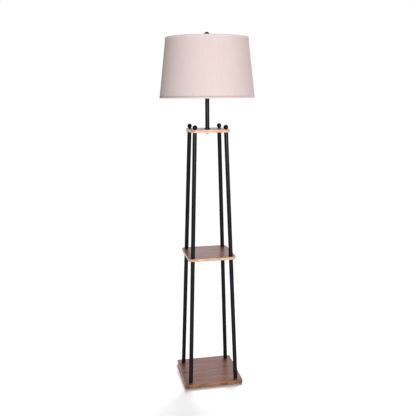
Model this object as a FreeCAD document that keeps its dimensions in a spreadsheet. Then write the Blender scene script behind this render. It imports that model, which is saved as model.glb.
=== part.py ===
import FreeCAD, Part
import os
import Sketcher
from FreeCAD import Placement, Rotation, Vector

# Shelf floor lamp: a square veneered base, two rounded square shelves, four leaning tubes with ball
# knobs, and a stem with a lamp socket, a wire harp, a bulb and a tapered drum shade.
#
# Frame: millimetres, Z up, origin on the floor under the stem. The front is -Y, the left is -X.
# The lamp has fourfold symmetry up to its stem, so one corner is drawn at +X +Y and turned round.

SIZES = (
    # name, size, what it is
    ("foot_dia", 18, "rubber pad under each corner of the base"),
    ("foot_height", 2.5, "rubber pad, thickness"),
    ("foot_inset", 12, "from the edge of the base to the middle of a pad"),
    ("base_side", 258, "base board, side of the square"),
    ("base_thick", 19, "base board, thickness"),
    ("base_corner", 2.5, "base board, radius of its upright corners"),
    ("middle_side", 210, "middle shelf, side of the square"),
    ("middle_corner", 22, "middle shelf, radius of its upright corners"),
    ("top_side", 165, "top shelf, side of the square"),
    ("top_corner", 18, "top shelf, radius of its upright corners"),
    ("shelf_thick", 12, "both shelves, thickness"),
    ("board_ease", 0.8, "rounding along the edges of all three boards"),
    ("lower_rise", 554.5, "from the base board up to the middle shelf"),
    ("upper_rise", 535.5, "from the middle shelf up to the top shelf"),
    ("leg_spread_foot", 102.3, "leg axis from the middle of the lamp, at the top of the base board"),
    ("leg_spread_head", 66.5, "leg axis from the middle of the lamp, at the top of the top shelf"),
    ("leg_dia", 18, "leg tube, outside"),
    ("leg_wall", 1.2, "leg tube, wall"),
    ("plug_gap", 0.1, "between a threaded plug and the bore of its tube"),
    ("plug_depth", 20, "threaded plug in each end of a leg tube"),
    ("bolt_dia", 8, "thread of the bolts, studs and knobs"),
    ("thread_gap", 0.05, "between a thread and the thread it turns in"),
    ("bolt_hole_gap", 1, "round a bolt in the hole of a board"),
    ("bolt_grip", 16, "length of a bolt, stud or knob inside a plug"),
    ("bolt_head_dia", 13, "head of the bolt under the base"),
    ("bolt_head_height", 4.5, "head of the bolt under the base"),
    ("bolt_key", 5, "hexagon key hole in the bolt head, across flats"),
    ("bolt_key_depth", 3, "hexagon key hole in the bolt head, depth"),
    ("washer_dia", 16, "washer under a bolt head"),
    ("washer_thick", 1.6, "washer under a bolt head"),
    ("pocket_gap", 1.5, "round a washer in its pocket under the base"),
    ("pocket_depth", 8, "pocket under the base for a bolt head"),
    ("knob_dia", 20, "ball knob on the top shelf"),
    ("knob_rise", 9.5, "middle of the ball above the top shelf"),
    ("knob_neck_dia", 11, "flat neck of the ball knob, on the shelf"),
    ("stem_dia", 18, "stem tube, outside"),
    ("stem_wall", 1.2, "stem tube, wall"),
    ("stem_rise", 136.5, "stem tube, length above the top shelf"),
    ("pipe_dia", 10, "threaded pipe through the stem, outside"),
    ("pipe_bore", 7, "threaded pipe through the stem, bore for the wires"),
    ("pipe_hole_gap", 0.25, "round the threaded pipe in the holes that it passes"),
    ("pipe_below", 8.5, "threaded pipe, length below the top shelf"),
    ("pipe_above", 9, "threaded pipe, length above the harp saddle"),
    ("nut_flats", 16, "hexagon nut under the top shelf, across flats"),
    ("nut_height", 4, "hexagon nut under the top shelf"),
    ("nut_chamfer", 0.8, "rounded-off corners of the hexagon nut"),
    ("lock_dia", 26, "washer between the nut and the top shelf"),
    ("lock_thick", 1.5, "washer between the nut and the top shelf"),
    ("bush_flange_dia", 11, "plastic cord bush in the lower end of the threaded pipe, flange"),
    ("bush_flange", 1.4, "plastic cord bush, thickness of its flange"),
    ("bush_wall", 0.5, "plastic cord bush, wall inside the pipe"),
    ("bush_spigot", 7, "plastic cord bush, length inside the pipe"),
    ("bush_gap", 0.05, "between the cord bush and the pipe's bore"),
    ("bush_ease", 0.5, "plastic cord bush, rounding of its flange"),
    ("seat_ring_dia", 24, "ring that centres the stem on the top shelf"),
    ("seat_ring_height", 3, "ring that centres the stem on the top shelf"),
    ("ring_gap", 0.1, "between the stem tube and the rings round it"),
    ("saddle_thick", 1.5, "harp saddle, sheet"),
    ("saddle_width", 12, "harp saddle, width of the strip"),
    ("saddle_arm", 9, "harp saddle, height of its upturned arms"),
    ("saddle_pin", 6, "harp saddle, height of the pin on each arm"),
    ("saddle_bend", 3, "harp saddle, inside radius of its bends"),
    ("saddle_eye_dia", 20, "harp saddle, round eye about its hole"),
    ("harp_wire_dia", 4, "harp, wire"),
    ("harp_foot_spread", 28.5, "harp leg axis from the middle, at the saddle"),
    ("harp_spread", 56, "harp wire axis from the middle, at its widest"),
    ("harp_height", 228.6, "harp, from the saddle up to the shade's seat"),
    ("harp_straight", 34, "upright stretch of wire above each saddle pin"),
    ("harp_widest", 84, "height above the saddle where the harp becomes widest"),
    ("harp_foot_bend", 22, "radius of the bend above each sleeve"),
    ("harp_side_bend", 60, "radius of the bend where the harp becomes widest"),
    ("harp_shoulder", 28, "radius of the shoulders at the top of the harp"),
    ("wire_gap", 0.3, "between a wire end and the pin below it"),
    ("sleeve_wall", 0.8, "sliding sleeve that locks a harp leg, wall"),
    ("sleeve_gap", 0.3, "between a sliding sleeve and the wire in it"),
    ("sleeve_length", 16, "sliding sleeve, length"),
    ("sleeve_lip", 0.8, "rolled lip of the sliding sleeve"),
    ("seat_dia", 18, "flange at the top of the harp that the shade rests on"),
    ("seat_thick", 2, "flange at the top of the harp"),
    ("seat_boss_dia", 10, "boss below the flange, which the wire passes through"),
    ("seat_boss", 8, "boss below the flange, height"),
    ("stud_dia", 6.35, "threaded stud on the harp's flange"),
    ("stud_rise", 14, "threaded stud, height above the flange"),
    ("cap_dia", 39.4, "socket cap, outside"),
    ("cap_hub_dia", 16, "socket cap, threaded hub"),
    ("cap_hub", 6, "socket cap, height of the straight hub"),
    ("cap_bowl", 7, "socket cap, height of its bowl"),
    ("cap_side", 12, "socket cap, height of its upright side"),
    ("cap_wall", 0.7, "socket cap, sheet"),
    ("cap_shoulder", 5, "socket cap, outside radius between its bowl and its side"),
    ("screw_dia", 4, "set screw in the hub of the socket cap"),
    ("shell_wall", 0.5, "socket shell, sheet"),
    ("shell_gap", 0.1, "between the shells of the socket"),
    ("shell_overlap", 6, "socket shell, depth inside the cap"),
    ("shell_height", 48, "socket shell, height"),
    ("bead_width", 3, "beads rolled into the socket shell, width"),
    ("bead_height", 0.6, "beads rolled into the socket shell, height above the shell"),
    ("bead_spacing", 8, "from the rim of the socket shell to a bead, and on to the next"),
    ("liner_wall", 0.8, "cardboard liner of the socket shell"),
    ("liner_proud", 1.5, "cardboard liner, height above the shell"),
    ("core_height", 17, "moulded body of the socket, height"),
    ("core_lift", 5, "moulded body above the lower end of the liner"),
    ("core_recess", 2, "recess in the moulded body round the centre contact"),
    ("core_recess_dia", 16, "recess in the moulded body, width"),
    ("terminal_dia", 6, "terminal screws of the socket"),
    ("terminal_spread", 11, "terminal screws, from the middle of the socket"),
    ("terminal_height", 2.5, "terminal screws, head"),
    ("thread_shell_dia", 27.8, "screw shell that the bulb turns into, outside"),
    ("thread_shell_wall", 0.5, "screw shell, sheet"),
    ("thread_shell_height", 22, "screw shell, height"),
    ("contact_width", 5, "centre contact strip, width"),
    ("contact_length", 11, "centre contact strip, length"),
    ("contact_thick", 0.6, "centre contact strip, sheet"),
    ("contact_rise", 2.6, "centre contact strip, height of its sprung end"),
    ("switch_rise", 34, "axis of the switch above the harp saddle"),
    ("switch_shaft_dia", 4.5, "turning shaft of the switch"),
    ("switch_hole_gap", 0.5, "round the switch shaft in the shell and the liner"),
    ("switch_depth", 5.5, "switch shaft, length inside the moulded body"),
    ("switch_key_gap", 2.5, "between the socket shell and the switch key"),
    ("switch_key_dia", 11, "switch key, at its outer end"),
    ("switch_key_neck", 8, "switch key, at its inner end"),
    ("switch_key_length", 20, "switch key, length"),
    ("switch_flute", 1.8, "flutes round the switch key"),
    ("switch_flute_count", 12, "flutes round the switch key"),
    ("bulb_dia", 60, "bulb, widest"),
    ("bulb_length", 110, "bulb, overall length"),
    ("bulb_cap_dia", 26, "bulb cap, outside"),
    ("bulb_cap_height", 19, "bulb cap, height of its screw"),
    ("bulb_cap_taper", 4, "black insulator below the bulb's screw, height"),
    ("bulb_contact_dia", 9, "bulb's end contact"),
    ("bulb_contact_height", 1.5, "bulb's end contact"),
    ("bulb_collar", 5, "straight collar of the bulb housing above its cap"),
    ("bulb_housing_dia", 54, "bulb housing, at its upper rim"),
    ("bulb_globe_wall", 1.2, "frosted globe of the bulb, wall"),
    ("bulb_globe_rise", 13.5, "middle of the globe above the rim of the housing"),
    ("bulb_lift", 0.4, "between the centre contact and the bulb"),
    ("shade_bottom_dia", 406.4, "shade, bottom"),
    ("shade_top_dia", 348.6, "shade, top"),
    ("shade_height", 247.5, "shade, overall height"),
    ("cover_wall", 0.8, "woven shade cover"),
    ("lining_wall", 0.5, "stiff lining of the shade"),
    ("cloth_gap", 0.35, "between the layers of the shade and its rings"),
    ("hem_wall", 0.6, "folded hem over each rim of the shade"),
    ("hem_height", 9, "folded hem, height"),
    ("hem_notch_gap", 0.7, "round a spoke in its notch in the top hem"),
    ("ring_wire_dia", 4, "wire of the shade's rings"),
    ("spoke_dia", 3.6, "wire of the spider's spokes"),
    ("spider_recess", 7, "hub of the shade's spider below its top ring"),
    ("hub_dia", 24, "hub of the shade's spider"),
    ("hub_thick", 2, "hub of the shade's spider"),
    ("hub_hole_gap", 0.3, "round the harp's stud in the hub"),
    ("spoke_count", 3, "spokes of the shade's spider"),
    ("spoke_flat", 46, "level stretch of a spoke beside the hub, from the middle"),
    ("spoke_bend", 24, "radius of the bend in a spoke"),
    ("finial_dia", 25, "ball of the finial"),
    ("finial_neck_dia", 9, "neck of the finial"),
    ("finial_base_dia", 13, "foot of the finial"),
    ("finial_base", 3, "foot of the finial, height"),
    ("finial_rise", 20, "middle of the ball above the spider's hub"),
    ("finial_bore_gap", 1, "threaded bore of the finial beyond the end of the stud"),
)

CORNERS = ("back_right", "back_left", "front_left", "front_right")
QUARTER_TURN = 90
FULL_TURN = 360

document = FreeCAD.newDocument("shelf_floor_lamp")
sheet = document.addObject("Spreadsheet::Sheet", "Sizes")
for row, (alias, size, meaning) in enumerate(SIZES, start=1):
    sheet.set(f"A{row}", meaning)
    sheet.set(f"B{row}", str(size))
    sheet.setAlias(f"B{row}", alias)
document.recompute()

# Levels above the floor, from the bottom up.
BASE_TOP = "(Sizes.foot_height + Sizes.base_thick)"
MIDDLE_UNDER = f"({BASE_TOP} + Sizes.lower_rise)"
MIDDLE_TOP = f"({MIDDLE_UNDER} + Sizes.shelf_thick)"
TOP_UNDER = f"({MIDDLE_TOP} + Sizes.upper_rise)"
TOP_TOP = f"({TOP_UNDER} + Sizes.shelf_thick)"
STEM_TOP = f"({TOP_TOP} + Sizes.stem_rise)"
SADDLE_TOP = f"({STEM_TOP} + Sizes.saddle_thick)"
SHADE_SEAT = f"({SADDLE_TOP} + Sizes.harp_height)"
HUB_TOP = f"({SHADE_SEAT} + Sizes.hub_thick)"
SPOKE_LEVEL = f"({SHADE_SEAT} + Sizes.hub_thick / 2)"
TOP_RING_LEVEL = f"({SPOKE_LEVEL} + Sizes.spider_recess)"
SHADE_TOP = f"({TOP_RING_LEVEL} + Sizes.ring_wire_dia / 2 + Sizes.cloth_gap + Sizes.hem_wall)"
SHADE_BOTTOM = f"({SHADE_TOP} - Sizes.shade_height)"

# The legs lean the same way in both directions, so this is the slope along X and along Y.
LEG_RISE = f"({TOP_TOP} - {BASE_TOP})"
LEAN = f"((Sizes.leg_spread_foot - Sizes.leg_spread_head) / {LEG_RISE})"


def leg_spread(level):
    """Where a leg's axis stands from the middle of the lamp, along X and along Y, at a level."""
    return f"(Sizes.leg_spread_foot - ({level} - {BASE_TOP}) * {LEAN})"


def value(expression):
    """The plain number that an expression of the sheet's sizes gives."""
    result = sheet.evalExpression(expression)
    return float(getattr(result, "Value", result))


def new_body(name, level, turn=0):
    """A body that stands at a level above the floor, turned about the lamp's axis."""
    body = document.addObject("PartDesign::Body", name)
    body.Label = name
    body.AllowCompound = True
    body.Placement = Placement(Vector(), Rotation(Vector(0, 0, 1), turn))
    body.setExpression("Placement.Base.z", level)
    return body


def origin_item(body, role):
    return next(item for item in body.Origin.OriginFeatures if item.Role == role)


def new_sketch(body, name, role="XY_Plane", offset=None):
    """A sketch on one of the body's own planes, moved along the plane's normal by offset."""
    sketch = body.newObject("Sketcher::SketchObject", name)
    sketch.AttachmentSupport = [(origin_item(body, role), "")]
    sketch.MapMode = "FlatFace"
    if offset:
        sketch.setExpression("AttachmentOffset.Base.z", offset)
    return sketch


def constrain(sketch, kind, *where, size):
    """Add a constraint and bind its size to an expression."""
    index = sketch.addConstraint(Sketcher.Constraint(kind, *where, value(size)))
    sketch.setExpression(f"Constraints[{index}]", size)


def lock(sketch, geometry, point, x=None, y=None):
    """Tie a point of a sketch to its own distances from the sketch's origin."""
    if x is not None:
        constrain(sketch, "DistanceX", -1, 1, geometry, point, size=x)
    if y is not None:
        constrain(sketch, "DistanceY", -1, 1, geometry, point, size=y)


def circle(sketch, diameter, x="0", y="0"):
    """A circle in a sketch, by its diameter and its middle."""
    middle = Vector(value(x), value(y), 0)
    shape = Part.Circle(middle, Vector(0, 0, 1), value(diameter) / 2)
    geometry = sketch.addGeometry(shape, False)
    lock(sketch, geometry, 3, x, y)
    constrain(sketch, "Diameter", geometry, size=diameter)


def side(start, end, arc):
    """One side of an outline: a line, or an arc about a middle given with its radius."""
    if arc is None:
        return Part.LineSegment(start, end)
    x, y, radius = arc
    middle = Vector(value(x), value(y), 0)
    whole = Part.Circle(middle, Vector(0, 0, 1), value(radius))
    clockwise = (start - middle).cross(end - middle).z < 0
    first, last = (end, start) if clockwise else (start, end)
    return Part.ArcOfCircle(whole, whole.parameter(first), whole.parameter(last))


def outline(sketch, corners, arcs=None):
    """A closed outline. Each corner is a pair of expressions, and may add the one direction in
    which it is tied when arcs already hold it in the other. arcs gives, by the number of the
    corner that a side starts from, the middle and radius of an arc in place of a line."""
    arcs = arcs or {}
    points = [Vector(value(corner[0]), value(corner[1]), 0) for corner in corners]
    ends = []
    for number, start in enumerate(points):
        end = points[(number + 1) % len(points)]
        arc = arcs.get(number)
        geometry = sketch.addGeometry(side(start, end, arc), False)
        first = 1
        if arc is not None:
            lock(sketch, geometry, 3, arc[0], arc[1])
            constrain(sketch, "Radius", geometry, size=arc[2])
            begin = sketch.getPoint(geometry, 1)
            first = 1 if begin.distanceToPoint(start) < begin.distanceToPoint(end) else 2
        ends.append((geometry, first, 3 - first))
    for number, (geometry, first, last) in enumerate(ends):
        following, start, _ = ends[(number + 1) % len(ends)]
        sketch.addConstraint(Sketcher.Constraint("Coincident", geometry, last, following, start))
        x, y, *tied = corners[number]
        directions = tied[0] if tied else "xy"
        x_lock = x if "x" in directions else None
        y_lock = y if "y" in directions else None
        lock(sketch, geometry, first, x_lock, y_lock)


def rectangle(sketch, left, bottom, right, top):
    """An upright rectangle, for a tube's wall or a strip."""
    outline(sketch, ((left, bottom), (right, bottom), (right, top), (left, top)))


def square(sketch, width):
    """A square about the sketch's origin."""
    half = f"{width} / 2"
    rectangle(sketch, f"-{half}", f"-{half}", half, half)


def hexagon(sketch, flats, x="0", y="0"):
    """A regular hexagon by its width across flats."""
    half = f"{flats} / 2"
    far = f"{flats} / sqrt(3)"
    near = f"{far} / 2"
    corners = ((far, "0"), (near, half), (f"-{near}", half), (f"-{far}", "0"), (f"-{near}", f"-{half}"),
               (near, f"-{half}"))
    outline(sketch, [(f"{x} + {across}", f"{y} + {up}") for across, up in corners])


def bent_line(sketch, corners, radii):
    """An open line through corners, with a round bend of the given radius at each inner corner."""
    points = [Vector(value(x), value(y), 0) for x, y in corners]
    count = len(points) - 1
    for start, end in zip(points, points[1:]):
        sketch.addGeometry(Part.LineSegment(start, end), False)
    for line in range(count - 1):
        sketch.addConstraint(Sketcher.Constraint("Coincident", line, 2, line + 1, 1))
    for number, (x, y) in enumerate(corners[:-1]):
        lock(sketch, number, 1, x, y)
    lock(sketch, count - 1, 2, *corners[-1])
    for line, radius in enumerate(radii):
        corner = points[line + 1]
        before = corner + (points[line] - corner).normalize()
        after = corner + (points[line + 2] - corner).normalize()
        sketch.fillet(line, line + 1, before, after, value(radius), True, True)
        arcs = [i for i, item in enumerate(sketch.Geometry) if isinstance(item, Part.ArcOfCircle)]
        constrain(sketch, "Radius", arcs[-1], size=radius)


def pad(body, name, sketch, length, lean=None, down=False, both_ways=False):
    """Extrude a sketch. A leaning pad follows a leg, so its level sections stay round and its
    ends stay level, as the ends of the real tubes are cut."""
    feature = body.newObject("PartDesign::Pad", name)
    feature.Profile = sketch
    feature.setExpression("Length", length)
    feature.Reversed = down
    feature.Midplane = both_ways
    if lean:
        feature.UseCustomVector = True
        feature.AlongSketchNormal = True
        feature.Direction = Vector(-value(lean), -value(lean), 1)
        feature.setExpression("Direction.x", f"-{lean}")
        feature.setExpression("Direction.y", f"-{lean}")
    return feature


def pocket(body, name, sketch, depth=None, towards_normal=False, both_ways=False):
    """Cut a sketch out of the body, right through it where no depth is given."""
    feature = body.newObject("PartDesign::Pocket", name)
    feature.Profile = sketch
    if depth:
        feature.setExpression("Length", depth)
    else:
        feature.Type = "ThroughAll"
    feature.Reversed = towards_normal
    feature.Midplane = both_ways
    return feature


def turned(body, name, sketch, kind="PartDesign::Revolution", axis="V_Axis"):
    """Spin a sketch right round one of its own axes, to add or to cut."""
    feature = body.newObject(kind, name)
    feature.Profile = sketch
    feature.ReferenceAxis = (sketch, [axis])
    feature.Angle = FULL_TURN
    return feature


def round_pattern(body, name, features, count, role="Z_Axis"):
    """Repeat features round one of the body's axes."""
    pattern = body.newObject("PartDesign::PolarPattern", name)
    pattern.Originals = features
    pattern.Axis = (origin_item(body, role), [""])
    pattern.Angle = FULL_TURN
    pattern.setExpression("Occurrences", count)
    body.Tip = pattern
    return pattern


def at_corners(body, features):
    """Repeat features at the four corners of the lamp."""
    return round_pattern(body, f"{body.Name}_corners", features, str(len(CORNERS)))


def edges_that(feature, test):
    """The names of the edges of a feature's shape that pass a test."""
    document.recompute()
    return [f"Edge{number}" for number, edge in enumerate(feature.Shape.Edges, start=1) if test(edge)]


def is_upright(edge):
    box = edge.BoundBox
    return box.ZLength > max(box.XLength, box.YLength, 0.01)


def dress(body, kind, name, feature, edges, size):
    """Round or chamfer some edges of a feature."""
    finish = body.newObject(kind, name)
    finish.Base = (feature, edges)
    size_name = "Radius" if kind == "PartDesign::Fillet" else "Size"
    finish.setExpression(size_name, size)
    return finish


def corner_circles(sketch, diameter, level):
    """One circle at the +X +Y corner, on the leg's axis at a level."""
    spread = leg_spread(level)
    circle(sketch, diameter, spread, spread)


def ring_on_leg(sketch, outside, inside, level):
    corner_circles(sketch, outside, level)
    corner_circles(sketch, inside, level)


# The foot pads and the three boards.

def make_foot_pads():
    body = new_body("foot_pads", "0")
    sketch = new_sketch(body, "foot_pad_outline")
    middle = "Sizes.base_side / 2 - Sizes.foot_inset"
    circle(sketch, "Sizes.foot_dia", middle, middle)
    at_corners(body, [pad(body, "foot_pad", sketch, "Sizes.foot_height")])


def rounded_board(name, level, width, thickness, corner):
    """A square board with rounded upright corners and eased edges."""
    body = new_body(name, level)
    sketch = new_sketch(body, f"{name}_outline")
    square(sketch, width)
    board = pad(body, f"{name}_board", sketch, thickness)
    corners = dress(body, "PartDesign::Fillet", f"{name}_corner_rounding", board,
                    edges_that(board, is_upright), corner)
    rims = edges_that(corners, lambda edge: not is_upright(edge))
    dress(body, "PartDesign::Fillet", f"{name}_easing", corners, rims, "Sizes.board_ease")
    return body


def bolt_holes(body, level, thickness):
    """A hole for a leg's bolt at each corner, upright, on the leg's axis at half the thickness."""
    sketch = new_sketch(body, f"{body.Name}_bolt_hole")
    corner_circles(sketch, "Sizes.bolt_dia + 2 * Sizes.bolt_hole_gap", f"({level} + {thickness} / 2)")
    return pocket(body, f"{body.Name}_bolt_drilling", sketch, towards_normal=True)


def make_base_board():
    body = rounded_board("base_board", "Sizes.foot_height", "Sizes.base_side", "Sizes.base_thick",
                         "Sizes.base_corner")
    drilling = bolt_holes(body, "Sizes.foot_height", "Sizes.base_thick")
    sketch = new_sketch(body, "bolt_head_pocket")
    pocket_top = "(Sizes.foot_height + Sizes.pocket_depth)"
    corner_circles(sketch, "Sizes.washer_dia + 2 * Sizes.pocket_gap", pocket_top)
    pockets = pocket(body, "bolt_head_pockets", sketch, "Sizes.pocket_depth", towards_normal=True)
    at_corners(body, [drilling, pockets])


def make_middle_shelf():
    body = rounded_board("middle_shelf", MIDDLE_UNDER, "Sizes.middle_side", "Sizes.shelf_thick",
                         "Sizes.middle_corner")
    at_corners(body, [bolt_holes(body, MIDDLE_UNDER, "Sizes.shelf_thick")])


def make_top_shelf():
    body = rounded_board("top_shelf", TOP_UNDER, "Sizes.top_side", "Sizes.shelf_thick",
                         "Sizes.top_corner")
    drilling = bolt_holes(body, TOP_UNDER, "Sizes.shelf_thick")
    at_corners(body, [drilling])
    sketch = new_sketch(body, "pipe_hole")
    circle(sketch, "Sizes.pipe_dia + 2 * Sizes.pipe_hole_gap")
    pocket(body, "pipe_drilling", sketch, towards_normal=True)


# The legs: tubes with a threaded plug in each end, and what screws into the plugs.

TUBE_BORE = "(Sizes.leg_dia - 2 * Sizes.leg_wall)"
THREAD_BORE = "(Sizes.bolt_dia + 2 * Sizes.thread_gap)"


def make_leg_tubes(storey, level, rise):
    for quarter, corner in enumerate(CORNERS):
        body = new_body(f"{storey}_leg_{corner}", level, quarter * QUARTER_TURN)
        sketch = new_sketch(body, f"{body.Name}_section")
        ring_on_leg(sketch, "Sizes.leg_dia", TUBE_BORE, level)
        pad(body, f"{body.Name}_tube", sketch, rise, lean=LEAN)


def make_leg_plugs(storey, level, rise):
    """Four plugs in the lower ends of a storey's tubes and four in the upper ends."""
    upper_level = f"({level} + {rise} - Sizes.plug_depth)"
    for end, start in (("bottom", level), ("top", upper_level)):
        body = new_body(f"{storey}_leg_{end}_plugs", start)
        sketch = new_sketch(body, f"{body.Name}_section")
        ring_on_leg(sketch, f"({TUBE_BORE} - 2 * Sizes.plug_gap)", THREAD_BORE, start)
        at_corners(body, [pad(body, f"{body.Name}_plug", sketch, "Sizes.plug_depth", lean=LEAN)])


def make_base_fasteners():
    """Washers and bolts in the pockets under the base, up into the lower legs."""
    washer_level = f"(Sizes.foot_height + Sizes.pocket_depth - Sizes.washer_thick)"
    washers = new_body("base_washers", washer_level)
    sketch = new_sketch(washers, "washer_section")
    ring_on_leg(sketch, "Sizes.washer_dia", "Sizes.bolt_dia + Sizes.bolt_hole_gap", washer_level)
    at_corners(washers, [pad(washers, "washer", sketch, "Sizes.washer_thick", lean=LEAN)])

    bolts = new_body("base_bolts", washer_level)
    shank = new_sketch(bolts, "bolt_shank_section")
    corner_circles(shank, "Sizes.bolt_dia", washer_level)
    shank_length = f"({BASE_TOP} + Sizes.bolt_grip - {washer_level})"
    shank_pad = pad(bolts, "bolt_shank", shank, shank_length, lean=LEAN)
    head_level = f"({washer_level} - Sizes.bolt_head_height)"
    head = new_sketch(bolts, "bolt_head_section", offset="-Sizes.bolt_head_height")
    corner_circles(head, "Sizes.bolt_head_dia", head_level)
    head_pad = pad(bolts, "bolt_head", head, "Sizes.bolt_head_height", lean=LEAN)
    key = new_sketch(bolts, "bolt_key_outline", offset="-Sizes.bolt_head_height")
    spread = leg_spread(head_level)
    hexagon(key, "Sizes.bolt_key", spread, spread)
    key_cut = pocket(bolts, "bolt_key", key, "Sizes.bolt_key_depth", towards_normal=True)
    at_corners(bolts, [shank_pad, head_pad, key_cut])


def make_shelf_studs():
    """Studs through the middle shelf that hold the lower and the upper legs together."""
    level = f"({MIDDLE_UNDER} - Sizes.bolt_grip)"
    body = new_body("middle_shelf_studs", level)
    sketch = new_sketch(body, "stud_section")
    corner_circles(sketch, "Sizes.bolt_dia", level)
    length = "Sizes.shelf_thick + 2 * Sizes.bolt_grip"
    at_corners(body, [pad(body, "stud", sketch, length, lean=LEAN)])


def make_ball_knobs():
    """Ball knobs on the top shelf, each with a stud down into its leg."""
    body = new_body("ball_knobs", TOP_TOP)
    spread = leg_spread(f"({TOP_TOP} + Sizes.knob_rise)")
    radius = "Sizes.knob_dia / 2"
    neck = "Sizes.knob_neck_dia / 2"
    neck_top = f"Sizes.knob_rise - sqrt(({radius}) ^ 2 - ({neck}) ^ 2)"
    half = new_sketch(body, "ball_outline", "XZ_Plane", f"-({spread})")
    corners = (("0", "0"), (neck, "0"), (neck, neck_top, "x"), ("0", f"Sizes.knob_rise + {radius}", "x"))
    shifted = [(f"{spread} + {corner[0]}", *corner[1:]) for corner in corners]
    outline(half, shifted, {2: (spread, "Sizes.knob_rise", radius)})
    ball = body.newObject("PartDesign::Revolution", "ball")
    ball.Profile = half
    ball.ReferenceAxis = (half, ["Edge4"])
    ball.Angle = FULL_TURN
    stud = new_sketch(body, "knob_stud_section")
    corner_circles(stud, "Sizes.bolt_dia", TOP_TOP)
    stud_pad = pad(body, "knob_stud", stud, "Sizes.shelf_thick + Sizes.bolt_grip", lean=LEAN, down=True)
    at_corners(body, [ball, stud_pad])


# The stem: a tube clamped between the top shelf and the harp saddle by a threaded pipe.

def make_tube(name, level, height, outside, inside):
    body = new_body(name, level)
    sketch = new_sketch(body, f"{name}_section")
    circle(sketch, outside)
    circle(sketch, inside)
    pad(body, f"{name}_wall", sketch, height)
    return body


def make_stem():
    pipe_hole = "Sizes.pipe_dia + 2 * Sizes.pipe_hole_gap"
    make_tube("stem_tube", TOP_TOP, "Sizes.stem_rise", "Sizes.stem_dia",
              "Sizes.stem_dia - 2 * Sizes.stem_wall")
    pipe_bottom = f"({TOP_UNDER} - Sizes.pipe_below)"
    pipe_length = f"({SADDLE_TOP} + Sizes.pipe_above - {pipe_bottom})"
    make_tube("threaded_pipe", pipe_bottom, pipe_length, "Sizes.pipe_dia", "Sizes.pipe_bore")
    washer_level = f"({TOP_UNDER} - Sizes.lock_thick)"
    make_tube("pipe_washer", washer_level, "Sizes.lock_thick", "Sizes.lock_dia", pipe_hole)
    make_pipe_nut(f"({washer_level} - Sizes.nut_height)")
    make_cord_bush(pipe_bottom)
    make_tube("stem_seat_ring", TOP_TOP, "Sizes.seat_ring_height", "Sizes.seat_ring_dia",
              "Sizes.stem_dia + 2 * Sizes.ring_gap")


def make_pipe_nut(level):
    body = new_body("pipe_nut", level)
    sketch = new_sketch(body, "nut_outline")
    hexagon(sketch, "Sizes.nut_flats")
    circle(sketch, "Sizes.pipe_dia + 2 * Sizes.thread_gap")
    nut = pad(body, "nut", sketch, "Sizes.nut_height")
    cut = new_sketch(body, "nut_corner_cut", "XZ_Plane")
    far = "Sizes.nut_flats / sqrt(3)"
    near = f"({far} - 2 * Sizes.nut_chamfer)"
    outline(cut, ((near, "0"), (f"{far} + 1", "0"), (f"{far} + 1", "Sizes.nut_chamfer"),
                  (far, "Sizes.nut_chamfer")))
    turned(body, "nut_corners", cut, "PartDesign::Groove")
    return nut


def make_cord_bush(pipe_bottom):
    """A flanged bush in the end of the threaded pipe, which keeps its edge off the cord."""
    body = new_body("cord_bush", f"({pipe_bottom} - Sizes.bush_flange)")
    sketch = new_sketch(body, "bush_outline", "XZ_Plane")
    flange = "Sizes.bush_flange_dia / 2"
    spigot = "Sizes.pipe_bore / 2 - Sizes.bush_gap"
    bore = f"{spigot} - Sizes.bush_wall"
    shoulder = "Sizes.bush_flange"
    end = f"{shoulder} + Sizes.bush_spigot"
    corners = ((bore, "0"), (flange, "0"), (flange, shoulder), (spigot, shoulder), (spigot, end),
               (bore, end))
    outline(sketch, corners)
    bush = turned(body, "bush", sketch)
    rims = edges_that(bush, is_rim("Sizes.bush_flange_dia", "0"))
    dress(body, "PartDesign::Fillet", "bush_easing", bush, rims, "Sizes.bush_ease")


def is_rim(diameter, height):
    """A test for the level circle of a given diameter at a height in its body."""
    width = value(diameter)
    level = value(height)

    def test(edge):
        box = edge.BoundBox
        there = box.ZLength < 0.01 and abs(box.ZMin - level) < 0.01
        return there and abs(box.XLength - width) < 0.01
    return test


# The lamp holder: a saddle for the harp, a cap, a shell with its liner, and the electrical core.

def make_harp_saddle():
    """A strip with upturned arms that end in pins for the harp's sleeves."""
    body = new_body("harp_saddle", STEM_TOP)
    side_view = new_sketch(body, "saddle_side_view", "XZ_Plane")
    outside = "(Sizes.harp_foot_spread + Sizes.saddle_thick / 2)"
    inside = "(Sizes.harp_foot_spread - Sizes.saddle_thick / 2)"
    floor = "Sizes.saddle_thick"
    top = "Sizes.saddle_thick + Sizes.saddle_arm"
    corners = ((f"-{outside}", "0"), (outside, "0"), (outside, top), (inside, top), (inside, floor),
               (f"-{inside}", floor), (f"-{inside}", top), (f"-{outside}", top))
    outline(side_view, corners)
    strip = pad(body, "saddle_strip", side_view, "Sizes.saddle_width", both_ways=True)
    inner = edges_that(strip, is_bend(inside, floor))
    bends = dress(body, "PartDesign::Fillet", "saddle_inner_bends", strip, inner, "Sizes.saddle_bend")
    outer = edges_that(bends, is_bend(outside, "0"))
    dress(body, "PartDesign::Fillet", "saddle_outer_bends", bends, outer,
          "Sizes.saddle_bend + Sizes.saddle_thick")
    eye = new_sketch(body, "saddle_eye_outline")
    circle(eye, "Sizes.saddle_eye_dia")
    pad(body, "saddle_eye", eye, "Sizes.saddle_thick")
    hole = new_sketch(body, "saddle_hole")
    circle(hole, "Sizes.pipe_dia + 2 * Sizes.pipe_hole_gap")
    pocket(body, "saddle_drilling", hole, "Sizes.saddle_thick", towards_normal=True)
    pins = new_sketch(body, "saddle_pin_sections", offset=top)
    circle(pins, "Sizes.harp_wire_dia", "Sizes.harp_foot_spread")
    circle(pins, "Sizes.harp_wire_dia", "-Sizes.harp_foot_spread")
    pad(body, "saddle_pins", pins, "Sizes.saddle_pin")


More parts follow.
